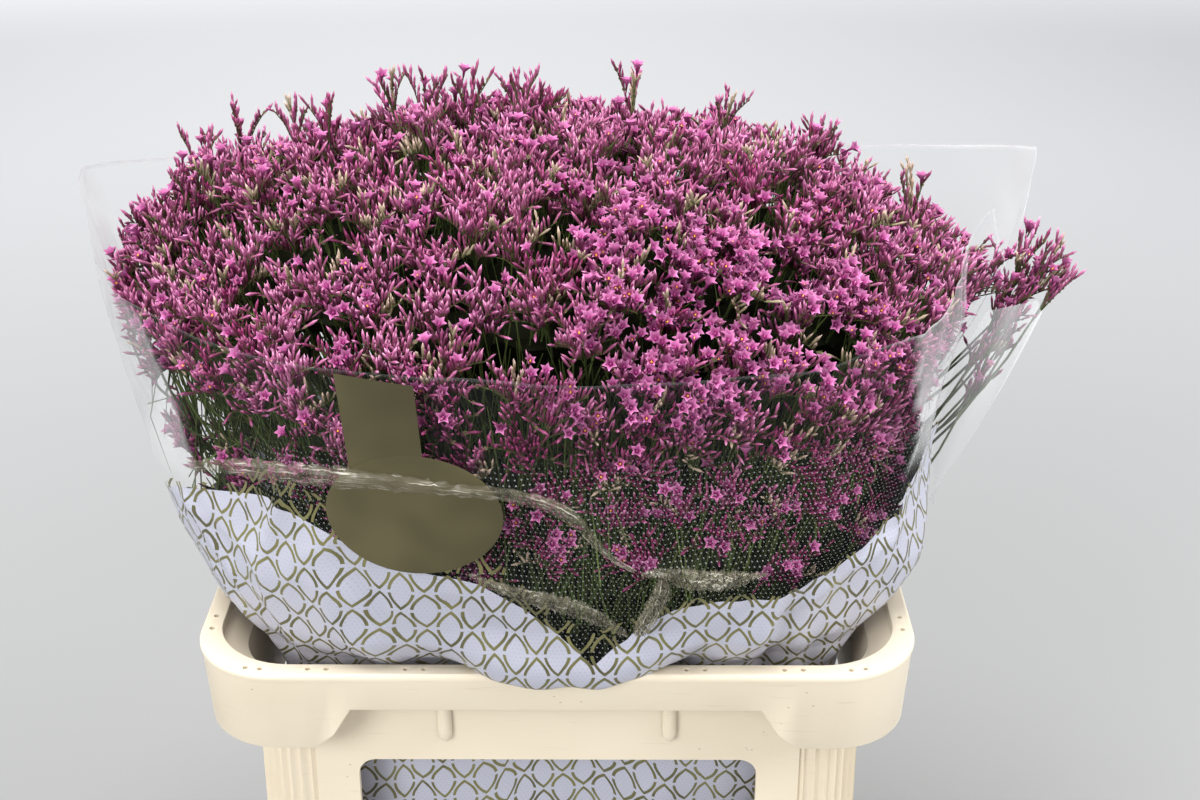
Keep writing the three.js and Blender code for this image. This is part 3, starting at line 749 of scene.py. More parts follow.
# Twigs from a spray's stem up to each cluster's node
def growTwigs(gathering, random, nodes, axes):
    owners = ownerOf(nodes)
    usual, further, least = bunch["forkBelow"]
    forkZ = np.maximum(nodes[:, 2] - usual - further * random.random(len(nodes)), rim - 30)
    forkZ = np.minimum(forkZ, nodes[:, 2] - least)
    forks = onFan(sprayPlaces()[owners], forkZ) + random.normal(0, 3, nodes.shape)
    reach = np.linalg.norm(nodes - forks, axis=1)[:, None]
    control = nodes - axes * reach * 0.5 + random.normal(0, 4, nodes.shape)
    radii = bunch["twigRadius"] * np.linspace(1.25, 0.8, 8)[None]
    points, faces = tubes(arcs(forks, control, nodes, evenShares(8)), radii)
    gathering.add(points, faces, greens(points, random.random((len(nodes), 1, 1)) * 0.7), owners, 1)


# The stem of each spray from the tub's floor up, and thinner ones beside it
def growStems(gathering, random):
    each, steps = stems["each"], stems["steps"]
    owners = np.repeat(np.arange(bunch["sprays"]), each)
    places = sprayPlaces()[owners]
    thick = np.arange(len(owners)) % each == 0
    stray = np.where(thick, 0, 1)[:, None] * random.normal(0, stems["stray"], places.shape)
    gathered = onFan(places + stray * 0.4, np.full(len(owners), float(rim + stems["gatherRise"])))
    foot = gathered * np.array([stems["footShare"]] * 2 + [0]) + np.array([0, 0, stems["footZ"]])
    knee = (foot + gathered) / 2 * np.array([1, 1, 0]) + np.array([0, 0, stems["kneeZ"]])
    main, lowest, higher = stems["topRises"]
    topZ = rim + np.where(thick, main, lowest + higher * random.random(len(owners)))
    marks = np.stack([foot, knee, gathered, onFan(places + stray, topZ)], 1)
    at = np.linspace(0, 3, steps)
    low = np.minimum(at.astype(int), 2)
    part = (at - low)[None, :, None]
    paths = keepInside(marks[:, low] * (1 - part) + marks[:, low + 1] * part, 9)
    radii = np.where(thick, *stems["radii"])[:, None] * np.linspace(1, 0.5, steps)[None]
    points, faces = tubes(paths, radii)
    gathering.add(points, faces, greens(points, 0.35), owners, 1)


# Thin stalks that stand among and under the clusters, fanning out as the stems do
def growThicket(gathering, random):
    count, side = thicket["stalks"], bunch["side"]
    underDome = random.random(count) < thicket["underDome"]
    out = np.where(underDome, (1 + side) * np.sqrt(random.random(count)), 1 + side * random.random(count))
    turn = random.random(count) * 2 * math.pi
    least, more = thicket["sunk"]
    tops = headPoint(out * np.cos(turn), out * np.sin(turn), least + more * random.random(count) ** 1.3)
    left = ease(-tops[:, 0], 95, 165) * (1 - ease(tops[:, 2] - rim, 130, 190))
    ways = unit(tops - np.array([0, 0, rim - bunch["apexDepth"]]))
    ways = ways + random.normal(0, 1, tops.shape) * (0.17 + 0.3 * left)[:, None]
    least, more = thicket["length"]
    length = least + more * random.random(count)
    least, more = thicket["radius"]
    radius = least + more * random.random(count)
    shape = np.concatenate([ringOf(3, 1, 0), ringOf(3, 0.9, 0.5) + [2.2, 0.6, 0], ringOf(3, 0.5, 1)])
    points = placeCopies(shape, tops - unit(ways) * length[:, None], ways, length, radius, turn)
    points = keepInside(points, thicket["filmGap"])
    tint = greens(points, random.random((count, 1, 1)))
    kept = random.random(count) > 0.88 * left
    gathering.add(points[kept], gridFaces(3, 3, True), tint[kept], ownerOf(tops[kept]), 1)


# A near-black rough core of painted shade under the florets, where the bunch's inside lies in shadow,
# shared out between the sprays
def growShadeCore(gathering, random):
    rows, columns = heart["grid"]
    outs = np.linspace(0.02, 1 + bunch["side"], rows)
    turns = np.linspace(0, 2 * math.pi, columns, endpoint=False)
    out, turn = np.meshgrid(outs, turns, indexing="ij")
    mapX, mapY = out * np.cos(turn), out * np.sin(turn)
    bare = thinness(headPoint(mapX, mapY))
    points = headPoint(mapX, mapY, heart["sink"])
    points[..., :2] *= (1 - 0.85 * bare * ease(-points[..., 0], 30, 120))[..., None]
    neck = points[-1:] * np.array([heart["neckShare"]] * 2 + [0])
    neck = neck + np.array([0, 0, rim + heart["neckRise"]])
    points = np.concatenate([points, neck]) + random.normal(0, heart["roughness"], (rows + 1, columns, 3))
    quads = points.reshape(-1, 3)[gridFaces(rows + 1, columns, True)]
    tint = np.array(tones["heart"]) * (0.5 + random.random((len(quads), 4, 1)))
    gathering.add(quads, np.array([[0, 1, 2, 3]]), tint, ownerOf(quads.mean(1)), 2)


def floretPaint():
    paint = Paint("staticeFlorets", Roughness=0.62, Specular_IOR_Level=0.3)
    grain = paint.smooth(paint.noise(900, 2), 0.35, 0.7)
    tone = paint.blend(grain * 0.35, paint.mark("tint", "Color"), (0.6, 0.42, 0.55), "MULTIPLY")
    paint.feed("Base Color", tone)
    paint.feed("Roughness", 0.5 + grain * 0.25)
    return paint


def stemPaint():
    paint = Paint("staticeStems", Roughness=0.6, Specular_IOR_Level=0.25)
    grain = paint.noise(300, 3)
    tone = paint.blend(grain * 0.5, paint.mark("tint", "Color"), (0.5, 0.45, 0.3), "MULTIPLY")
    paint.feed("Base Color", tone)
    paint.feed("Roughness", 0.5 + grain * 0.3)
    return paint


def heartPaint():
    paint = Paint("staticePaintedShadeCore", Roughness=1, Specular_IOR_Level=0)
    paint.feed("Base Color", paint.mark("tint", "Color"))
    return paint


def growClusters(gathering, random):
    places, normals = spreadClusters(random)
    count = len(places)
    share, far, deep = bunch["lifted"]
    lift = np.where(random.random(count) < share, random.random(count) * far, -deep * random.random(count))
    places = places + normals * lift[:, None] * (places[:, 2] > rim + bunch["liftFrom"])[:, None]
    spread = np.full(count, bunch["clusterRadius"])
    nodes, axis, combs = makeCombs(random, places, normals, spread, bunch["combs"], bunch["clusterDepth"])
    x, y, rise = (combs[1] - [0, 0, rim]).T
    few, many = bunch["openShare"]
    inFront = between(x, -10, 50, 150, 190) * ease(-y, 70, 110) * ease(rise, 150, 180)
    toneShiftsAndShade = np.repeat(random.normal(0, 0.21, count), sum(bunch["combs"]))
    # painted shade: florets darker towards the bottom of the bunch, where it lies in shadow
    toneShiftsAndShade = toneShiftsAndShade - 0.5 * (1 - ease(rise, 80, 190))
    gap = bunch["filmGap"] + 8 * (1 - ease(rise, 80, 150))
    growCombs(gathering, random, *combs, few + (many - few) * inFront, toneShiftsAndShade, gap)
    growTwigs(gathering, random, nodes, axis)
    return count


def growSprigs(gathering, random, group, depth, lean):
    table = np.array(group, float)
    tops = table[:, :3] + np.array([0, 0, rim])
    ways = np.tile(np.array(lean, float), (len(tops), 1))
    nodes, axis, combs = makeCombs(random, tops, ways, table[:, 3], bunch["sprigCombs"], depth)
    few = np.full(len(combs[0]), bunch["openShare"][0])
    growCombs(gathering, random, *combs, few, 0 * few, bunch["noFilm"])
    growTwigs(gathering, random, nodes, axis)


def makeStatice():
    random = np.random.default_rng(bunch["seed"])
    gathering = Gathering()
    count = growClusters(gathering, random)
    for group in sprigGroups:
        growSprigs(gathering, random, *group)
    growStems(gathering, random)
    growThicket(gathering, random)
    growShadeCore(gathering, random)
    paints = [floretPaint(), stemPaint(), heartPaint()]
    for owner in range(bunch["sprays"]):
        number = f"{owner + 1:02d}"
        piece = gathering.piece(f"staticeSpray{number}", owner, paints)
        dress(piece, f"spray_{number}")
    print("statice grown:", count, "clusters")


# A point on the front of the film, found from its x and how far out of the film it stands
def filmFront(x, rise, out):
    halfWidth, halfDepth, power = readColumns(film["form"], rise)
    share = np.minimum(np.abs(x / halfWidth), 1)
    y = -(halfDepth + out) * (1 - share ** power) ** (1 / power)
    return np.stack([x, y, rim + rise + 0 * x], -1)


creases = (                     # height of the fold in mm, then its angles and rises
    (3.2, (236, 132), (247, 133), (264, 131), (271, 121), (277, 89), (281, 60)),
    (2.4, (259, 73), (271, 60), (280, 29)),
    (3.5, (282, 76), (289, 78), (297, 71)),
    (2.2, (283, 30), (287, 58), (284, 76)),
    (2.5, (236, 106), (231, 70), (229, 30), (231, -10)),
    (-2.0, (256, 52), (263, 30), (270, 16)),
    (2.5, (315, 233), (312.5, 220), (314, 197), (316.5, 151), (319, 129), (320, 80)),
    (2.0, (327, 238), (327.5, 200), (327, 155), (326, 90)),
    (2.0, (190, 232), (208, 220), (219, 197), (222, 150), (221, 110)),
    (2.2, (217, 86), (222, 50), (226, 10)),
    (-1.8, (243, 84), (246, 50), (250, 10)),
    (1.8, (296, 66), (293, 36), (290, 8)),
    (-1.8, (306, 66), (304, 36), (300, 8)),
    (1.8, (320, 84), (318, 50), (313, 10)),
    (1.6, (305, 40), (312, 60), (322, 70)),
)
folds = (                       # loose ones in front: crumpling, then x, rise and half height
    (0.35, (-197, 114, 3), (-164, 127, 4.2), (-147, 129, 6), (-125, 131, 6.5), (-104, 132.5, 6),
     (-79, 132.5, 5), (-54, 130.5, 4.4), (-34, 130, 4), (-15, 127.5, 4.4), (-3, 123, 5), (7, 118.5, 4.4),
     (14.5, 110.5, 3.5), (23, 97, 2.5), (30.5, 87.5, 2), (44.5, 78.5, 1.2)),
    (0.7, (-43.5, 79, 0.8), (-31.5, 72, 3), (-16.5, 65.5, 4.6), (-1.5, 61.5, 5.6), (11.5, 56.5, 6.2),
     (24, 48, 5.2), (34.5, 38.5, 2.6), (39, 34, 0.8)),
    (1.3, (44.5, 77.5, 1), (52, 79.5, 3), (65, 75.5, 6), (75, 72.5, 7), (90.5, 71, 6.4), (101, 72, 3.1),
     (110.5, 72.5, 0.8)),
    (1.4, (44, 36, 3.4), (47.5, 44, 4.7), (52.5, 57, 5.1), (56, 67, 4.6), (57, 77, 2.6)),
)
filmLook = {
    "columns": 321,
    "rows": 104,                # from just under the rim to the top
    "lowRows": 14,              # and under those
    "seed": 5,
    "creaseWidth": 4.5,
    "pleats": 46,
    "pleatHeight": 2.6,
    "pleatWidth": 2.2,          # degrees
    "wrinkles": 14,
    "wrinkleHeight": 0.7,
    "clear": 0.010,             # how much the bare film covers
    "columnGap": 12.1,          # of the print's columns of eyes
    "eyePitch": 27.5,
    "eyeHalf": (6.6, 12.2),
    "lineHalf": 0.85,
    "cornerGap": 1.1,
    "freckle": (2.4, 0.42),     # the white's fine dots: their spacing and radius
    "hole": (2.9, 0.43),        # and the clear film's
}
filmTones = {
    # the gold's first tone is its look in shade and the second its look in the light, blended in patches:
    # painted shade and painted sheen
    "gold": ((0.085, 0.078, 0.030), (0.19, 0.178, 0.060)),
    "white": ((0.475, 0.48, 0.565), (0.31, 0.32, 0.40)),
    "clear": (0.72, 0.73, 0.73),
    # the folds' brownish veil, and the light tone of their painted glints
    "fold": ((0.23, 0.205, 0.14), (0.64, 0.61, 0.52)),
}


def creaseField(points):
    height = np.zeros(len(points))
    for size, *corners in creases:
        table = np.array(corners, float)
        at = np.linspace(0, len(table) - 1, 50)
        angle, rise = [np.interp(at, np.arange(len(table)), column) for column in table.T]
        line = filmPoint(angle, rise)
        near = np.sqrt(((points[:, None] - line[None]) ** 2).sum(-1)).min(1)
        height += size * bell(near, filmLook["creaseWidth"])
    return height


def wrinkleField(random, angle, rise, across):
    total = np.zeros(angle.shape)
    for i in range(filmLook["wrinkles"]):
        length = 40 + 110 * random.random()
        lean = random.normal(0, 0.8)
        phase = random.random() * 6.3
        wave = np.abs(np.sin((across * math.cos(lean) + rise * math.sin(lean)) * math.pi / length + phase))
        total += filmLook["wrinkleHeight"] * (1 - 2 * wave ** 0.7)
    pull = between(rise, -70, -5, 15, 95)
    for i in range(filmLook["pleats"]):
        middle = random.random() * 360
        drift = random.normal(0, 0.05)
        height = pull * filmLook["pleatHeight"] * random.normal(0, 1)
        total += height * bell(degreesApart(angle + drift * rise, middle), filmLook["pleatWidth"])
    return total


# Haze where the film is doubled, and painted glare where it catches the light, as in the right band and its
# ridges
def hazeAndGlareField(angle, rise, top):
    streak = 0.5 + 0.5 * np.sin(angle * 3.1 + rise * 0.05) * np.sin(angle * 1.3 + 1)
    inner, outer, strip = readColumns(film["hazeAndGlareEdges"], rise)
    start = ease(rise, 96, 120)
    low = 1 - ease(rise, 120, 215)
    right = between(angle, inner, inner + 1, outer, outer + 0.8) * start
    ridges = bell(angle - inner - 0.5, 0.4) + bell(angle - outer, 0.45)
    left = between(angle, 172, 180, strip - 1.5, strip + 0.5) * ease(rise, 92, 112)
    front = between(angle, 205, 222, 306, 318)
    edge = bell(top - rise, 1) * (0.5 - 0.42 * front)
    sides = bell(angle - 358, 0.6) + bell(angle + 2, 0.6)
    frosted = 0.06 + 0.1 * np.sin(angle * 2.6) ** 2
    corner = between(angle, 2, 6, 14, 30) * ease(rise, 120, 200) * frosted
    hazeAndGlare = corner + right * (0.18 + 0.28 * low + 0.12 * streak) + 0.30 * ridges * start
    return hazeAndGlare + left * (0.23 + 0.13 * streak + 0.18 * bell(angle - strip + 0.5, 0.5)) + edge + 0.6 * sides


# Lets the front of the film belly out and hang a little over the bucket's rim
def overRim(points, rise):
    lip = film["lip"]
    x = points[..., 0]
    weight = between(x, *lip["across"]) * (points[..., 1] < 0) * between(rise, *lip["rises"])
    y, z = readColumns(lip["path"], rise)
    z = rim + z + 0.9 * np.sin(x * 0.21) - 4 * (1 - weight)
    return fade(points, np.stack([x, y, z], -1), weight[..., None])


def filmPaint():
    paint = Paint("printedFilm", Roughness=0.22, Specular_IOR_Level=0.5)
    u, v, above = paint.parts(paint.mark("filmPlace"))
    hazeAndGlare, dotted, past = paint.parts(paint.mark("filmMarks"))
    gap, pitch = filmLook["columnGap"], filmLook["eyePitch"]
    halfWide, halfTall = filmLook["eyeHalf"]

    def wrapped(value, size):
        return paint.maths("WRAP", value, size / 2, -size / 2)

    # the outline of pointed eyes, one in each cell of a lattice
    def eyes(shiftX, shiftY):
        x = paint.maths("ABSOLUTE", wrapped(u + shiftX, 2 * gap))
        y = paint.maths("ABSOLUTE", wrapped(v + shiftY, pitch))
        off = x / halfWide + (y / halfTall) * (y / halfTall) - 1
        steep = y * (2 / halfTall ** 2)
        slope = paint.maths("SQRT", steep * steep + 1 / halfWide ** 2)
        away = paint.maths("ABSOLUTE", off / slope)
        return (away < filmLook["lineHalf"]) * (y > filmLook["cornerGap"])

    def dots(spacing, radius):
        x, y = wrapped(u + v * 0.5, spacing), wrapped(v, spacing)
        return paint.maths("SQRT", x * x + y * y) < radius

    lines = paint.maths("MAXIMUM", eyes(0, 0), eyes(gap, pitch / 2))
    gold = lines * (above + (paint.noise(60, 2) - 0.5) * 12 < past)
    covered = paint.maths("MAXIMUM", above < 0, gold)
    # patches of painted shade and painted sheen on the gold lines
    goldShadeAndSheen = paint.smooth(paint.noise(45, 2), 0.3, 0.7)
    goldTone = paint.blend(goldShadeAndSheen, *filmTones["gold"])
    whiteTone = paint.blend(dots(*filmLook["freckle"]) * 0.5, *filmTones["white"])
    printed = paint.blend(gold, whiteTone, goldTone)
    paint.feed("Base Color", paint.blend(covered, filmTones["clear"], printed))
    veil = filmLook["clear"] + hazeAndGlare + dots(*filmLook["hole"]) * dotted * 0.29
    settings = {"operation": "MAXIMUM", "use_clamp": True}
    paint.feed("Alpha", paint.node("Math", settings, {0: covered, 1: veil}))
    paint.feed("Roughness", 0.16 + covered * 0.2)
    paint.bump(paint.noise(120, 3), 0.25, 1.2)
    return paint


# One piece of film. Its filmPlace is across and along the print and over the white's edge, and its
# filmMarks are haze and painted glare, dots and how far the gold goes on
def layFilm(name, points, paint, marks):
    piece = addMesh(name, points, [gridFaces(*points.shape[:2])], [paint], None, marks)
    dress(piece, "sleeve")


def makeSleeve(random, paint):
    angle = np.linspace(-2, 358, filmLook["columns"])
    top = topEdge(angle)
    low = np.linspace(-335, -40, filmLook["lowRows"])[:, None] + 0 * angle
    share = np.linspace(0, 1, filmLook["rows"] + 1)[1:, None]
    rise = np.concatenate([low, -40 + (top + 40) * share])
    angles = np.broadcast_to(angle, rise.shape)
    base = filmPoint(angles, rise)
    steps = np.linalg.norm(np.diff(base, axis=1), axis=-1)
    across = np.concatenate([np.zeros((len(rise), 1)), np.cumsum(steps, 1)], 1)
    front = int(np.abs(angle - 270).argmin())
    across = across - across[:, front:front + 1]
    push = creaseField(base.reshape(-1, 3)).reshape(rise.shape) + wrinkleField(random, angles, rise, across)
    push = push * ease(rise, -330, -200)
    points = overRim(filmPoint(angles, rise, -push), rise)
    up = np.linalg.norm(np.diff(points, axis=0), axis=-1)
    along = np.concatenate([np.zeros((1, len(angle))), np.cumsum(up, 0)])
    level = np.abs(rise - 45).argmin(0)
    along = along - along[level, np.arange(len(angle))]
    above = rise - readRows(film["printEdge"], angles % 360)
    dotted = (1 - ease(rise, 128, 150)) * ease(angles, 228, 236)
    past = readRows(film["latticeOver"], angles % 360)
    layFilm("filmSleeve", points, paint, {
        "filmPlace": np.stack([across + 0.6 * push, along, above], -1),
        "filmMarks": np.stack([hazeAndGlareField(angles, rise, top), dotted, past], -1),
    })


flap = {                        # of the open seam, standing out to the right
    "grid": (24, 14),
    "root": ((340, 55), (350, 163)),            # its line on the film from low to high: angle, rise
    "edge": ((213, -50, 55), (280, -8, 162)),   # its free edge: x, y, rise
    "edgeBow": 8,
    "belly": 9,
}


def makeSeamFlap(paint):
    t, s = shareGrid(*flap["grid"])
    low, high = flap["root"]
    inner = filmPoint(low[0] + (high[0] - low[0]) * t, low[1] + (high[1] - low[1]) * t)
    low, high = np.array(flap["edge"], float)
    outer = low + (high - low) * t[..., None] + [0, 0, rim]
    outer[..., 1] -= flap["edgeBow"] * np.sin(math.pi * t)
    sheet = fade(inner, outer, s[..., None])
    sheet[..., 1] -= flap["belly"] * np.sin(math.pi * s) * np.sin(math.pi * t)
    veil = 0.10 + 0.12 * t + 0.4 * bell(1 - s, 0.03) + 0.14 * np.sin(7 * s + 5 * t) ** 2 * t
    layFilm("filmSeamFlap", sheet, paint, {
        "filmPlace": np.stack([60 * s, 120 * t, 60 - 66 * (1 - t) * (1 - s) ** 2], -1),
        "filmMarks": np.stack([veil, 1 - ease(t, 0.1, 0.3), 0 * t], -1),
    })


# The folds' paint: fine bright streaks of painted highlight that run along each fold, over a faint brownish
# veil
def foldPaint():
    paint = Paint("foldedFilm", Roughness=0.25, Specular_IOR_Level=0.5)
    place = paint.mark("foldPlace")
    edge = paint.parts(place)[2]
    glintStreaks = paint.smooth(paint.noise(1, 4, paint.stretched(place, (0.035, 1.1, 0))), 0.5, 0.68)
    patches = paint.smooth(paint.noise(1, 2, paint.stretched(place, (0.09, 0.12, 0))), 0.35, 0.62)
    # painted highlight: bright glint streaks along the fold, in patches
    bright = glintStreaks * (0.3 + patches * 0.7)
    paint.feed("Base Color", paint.blend(bright, *filmTones["fold"]))
    paint.feed("Alpha", edge * (0.16 + patches * 0.20 + bright * 0.42))
    return paint


def makeFolds(random):
    paint = foldPaint()
    across = np.linspace(-1, 1, 13)
    for number, (crumpling, *path) in enumerate(folds):
        table = np.array(path, float)
        at = np.linspace(0, len(table) - 1, 110)
        x, rise, half = [np.interp(at, np.arange(len(table)), column) for column in table.T]
        x, rise = [np.convolve(np.pad(line, 6, "edge"), np.ones(13) / 13, "valid") for line in (x, rise)]
        half = half * (1 + 0.12 * random.normal(0, 1, len(half)))
        stepX, stepUp = np.gradient(x), np.gradient(rise)
        length = np.hypot(stepX, stepUp)
        alongX = x[:, None] - (stepUp / length * half)[:, None] * across
        alongUp = rise[:, None] + (stepX / length * half)[:, None] * across
        lift = 2.6 + 0.6 * half[:, None] * (1 - across ** 2) + random.normal(0, crumpling, alongX.shape)
        run = np.cumsum(length)[:, None] + 0 * alongX
        aside = half[:, None] * across + 30 * number
        edge = np.clip((1 - np.abs(across)) * 7, 0, 1) * (0.75 + 0.6 * crumpling) + 0 * alongX
        layFilm(f"filmFold{number + 1}", filmFront(alongX, alongUp, lift), paint,
                {"foldPlace": np.stack([run, aside, edge], -1)})


def makeFilm():
    random = np.random.default_rng(filmLook["seed"])
    paint = filmPaint()
    makeSleeve(random, paint)
    makeSeamFlap(paint)
    makeFolds(random)
    print("film wrapped")


label = {                       # places are across and rise, on the film's front
    "disc": (-68.5, 112.5),
    "lean": 0.08,
    "radius": 45,
    "squash": 0.79,             # the disc's height over its width as it lies in the film's fold
    "strap": (                  # its corners, left and right, low and high
        (-98, 118), (-60.5, 115), (-103.5, 191), (-64.5, 187.5),
    ),
    "off": 2.2,                 # clear of the film's folds
    "border": 3.5,
    "borderHeight": 0.35,
    # a darker and a lighter tone of the foil, blended in soft patches as painted sheen
    "tones": ((0.062, 0.053, 0.020), (0.125, 0.108, 0.046)),
}


def labelPaint():
    paint = Paint("labelFoil", Roughness=0.34, Metallic=0.35)
    grain = paint.noise(240, 3)
    # painted sheen: the foil goes between its darker and lighter tone in soft patches
    paint.feed("Base Color", paint.blend(paint.smooth(paint.noise(14, 2), 0.3, 0.7), *label["tones"]))
    paint.feed("Roughness", 0.26 + grain * 0.2)
    paint.bump(grain, 0.12, 0.6)
    return paint


def makeDisc(paint):
    sin, cos = math.sin(label["lean"]), math.cos(label["lean"])
    turns = np.linspace(0, 2 * math.pi, 72, endpoint=False)
    radius, turn = np.meshgrid(label["radius"] * np.linspace(0.001, 1, 18), turns, indexing="ij")
    border = label["borderHeight"] * bell(label["radius"] - label["border"] - radius, 0.9)
    across, up = radius * np.sin(turn), radius * label["squash"] * np.cos(turn)
    middle, height = label["disc"]
    x, rise = middle + across * cos - up * sin, height + across * sin + up * cos
    disc = filmFront(x, rise, label["off"] + border)
    piece = addMesh("labelDisc", disc, [gridFaces(*turn.shape, True)[:, ::-1]], [paint])
    dress(piece, "label")


def makeStrap(paint):
    t, s = shareGrid(30, 12)
    lowLeft, lowRight, highLeft, highRight = np.array(label["strap"], float)
    low, high = fade(lowLeft, lowRight, s[..., None]), fade(highLeft, highRight, s[..., None])
    x, rise = np.moveaxis(fade(low, high, t[..., None]), -1, 0)
    strap = filmFront(x, rise, label["off"] - 0.35 + 1.5 * t ** 2)
    piece = addMesh("labelStrap", strap, [gridFaces(*t.shape)], [paint])
    dress(piece, "label")


def makeLabel():
    paint = labelPaint()
    makeDisc(paint)
    makeStrap(paint)
    print("label laid")


# The bucket. Outlines are width, depth and corner radius
bucket = {
    "base": (318, 218, 30),
    "wall": (350, 250, 38),
    "rim": (400, 300, 47),
    "deckHole": (377, 277, 44),
    "skirtDrop": 25,
    "cornerDrop": 50,
    "cornerLength": 76,
    "dropBlend": 15,
    "panel": (222, 342),        # height range of the ribbed corner panels
    "panelSink": 3.4,
    "panelRibs": 9,
    "ribHeight": 2.4,
    "window": (226, 327),
    "frontWindow": 226,
    "sideWindow": 136,
    "windowCorner": 10,
    "cutDepth": 22,             # either side of the wall
    "pegRadius": 1.6,           # of the pegs that cut the deck's small holes
    "pegHeights": (392, 404),
    "alongFront": (-134, -124, -81, -71, 71, 81, 124, 134),
    "alongSide": (-103, -90, -36, -26, 26, 36, 90, 103),
    "frontHoles": 143.8,        # how far out the holes are
    "sideHoles": 193.8,
    "cornerHoles": ((168, 142.5), (160, 143.8)),
    "lugs": 63,                 # how far to each side of the middle
    "lugTop": 386,
    "lugLength": 46,
    "lugWall": 126.2,           # where they stand on the wall
    "lugSize": (4, 3.4),
    "sharpFrom": 32,            # degrees between faces
    "cornerSteps": 54,
    "straightSteps": (30, 20),
}
quarters = ((1, 1), (-1, 1), (-1, -1), (1, -1))     # the corners' sides of the middle, round from +X


# Points round an outline, the same count for every outline, grown by an amount
def outlineLoop(outline, by=0):
    width, depth, corner = outline
    radius = max(corner + by, 1)
    half = np.array([width / 2 + by - radius, depth / 2 + by - radius])
    points = []
    for quarter, signs in enumerate(quarters):
        turn = math.pi / 2 * (quarter + np.arange(bucket["cornerSteps"] + 1) / bucket["cornerSteps"])
        arc = half * signs + radius * np.stack([np.cos(turn), np.sin(turn)], -1)
        start, last = arc[-1], turn[-1]
        end = half * quarters[(quarter + 1) % 4] + radius * np.array([math.cos(last), math.sin(last)])
        steps = bucket["straightSteps"][quarter % 2]
        points += [arc, start + (end - start) * (np.arange(1, steps) / steps)[:, None]]
    return np.concatenate(points)


# How far through its corner each point of an outline is, or -1 along the straights
def cornerShares():
    shares = []
    for quarter in range(4):
        shares.append(np.linspace(0, 1, bucket["cornerSteps"] + 1))
        shares.append(np.full(bucket["straightSteps"][quarter % 2] - 1, -1.0))
    return np.concatenate(shares)


def loftRows(rows):
    loops = []
    for outline, by, z in rows:
        loop = outlineLoop(outline, by)
        loops.append(np.concatenate([loop, np.full((len(loop), 1), float(z))], 1))
    return np.stack(loops)


# Quads that join the last row of a loft back to its first
def closingFaces(shape):
    rows, columns = shape[:2]
    first = np.arange(columns)
    last = (rows - 1) * columns + first
    return np.stack([last, np.roll(last, -1), np.roll(first, -1), first], -1)


# Triangles that close the first and last row to a middle point each
def endFaces(shape):
    rows, columns = shape[:2]
    under, over = rows * columns, rows * columns + 1
    here = np.arange(columns)
    after = (here + 1) % columns
    last = (rows - 1) * columns
    lower = np.stack([np.full(columns, under), after, here], -1)
    upper = np.stack([np.full(columns, over), last + here, last + after], -1)
    return np.concatenate([lower, upper])


def plasticPaint():
    paint = Paint("creamPlastic", Roughness=0.42, Specular_IOR_Level=0.4)
    broad = paint.smooth(paint.noise(7, 3), 0.35, 0.7)
    tone = paint.blend(broad, (0.83, 0.735, 0.575), (0.77, 0.67, 0.51))
    speck = paint.node("TexVoronoi", {"feature": "F1"}, {"Scale": 60}, "Distance")
    dirt = (speck < 0.10) * (paint.noise(23, 2) > 0.62)
    scuff = paint.smooth(paint.noise(9, 4, paint.stretched(paint.place(), (4, 4, 60))), 0.62, 0.80)
    tone = paint.blend(dirt * 0.55, tone, (0.30, 0.22, 0.13))
    tone = paint.blend(scuff * 0.30, tone, (0.52, 0.44, 0.33))
    paint.feed("Base Color", tone)
    paint.feed("Roughness", 0.36 + broad * 0.12 + scuff * 0.2)
    paint.bump(paint.noise(420, 2), 0.05, 0.5)
    return paint


# A prism from the loop in front to the loop behind it, as points and faces
def prism(front, back):
    count = len(front)
    ends = [list(range(count)), [count + i for i in reversed(range(count))]]
    after = [(i + 1) % count for i in range(count)]
    sides = [[after[i], i, count + i, count + after[i]] for i in range(count)]
    return front + back, ends + sides


# A block with rounded corners that cuts a window, lying across Y
def windowBlock(y, halfWide):
    low, high = bucket["window"]
    corner, steps = bucket["windowCorner"], 8
    loop = []
    for quarter, (sx, sy) in enumerate(quarters):
        for step in range(steps + 1):
            turn = math.pi / 2 * (quarter + step / steps)
            x = sx * (halfWide - corner) + corner * math.cos(turn)
            loop.append((x, (low + high) / 2 + sy * ((high - low) / 2 - corner) + corner * math.sin(turn)))
    return prism(*[[(x, y + side * bucket["cutDepth"], z) for x, z in loop] for side in (-1, 1)])


def deckPeg(x, y):
    radius, sides = bucket["pegRadius"], 10
    turns = [i * 2 * math.pi / sides for i in range(sides)]
    loop = [(x + radius * math.cos(turn), y + radius * math.sin(turn)) for turn in turns]
    return prism(*[[(a, b, z) for a, b in loop] for z in bucket["pegHeights"]])


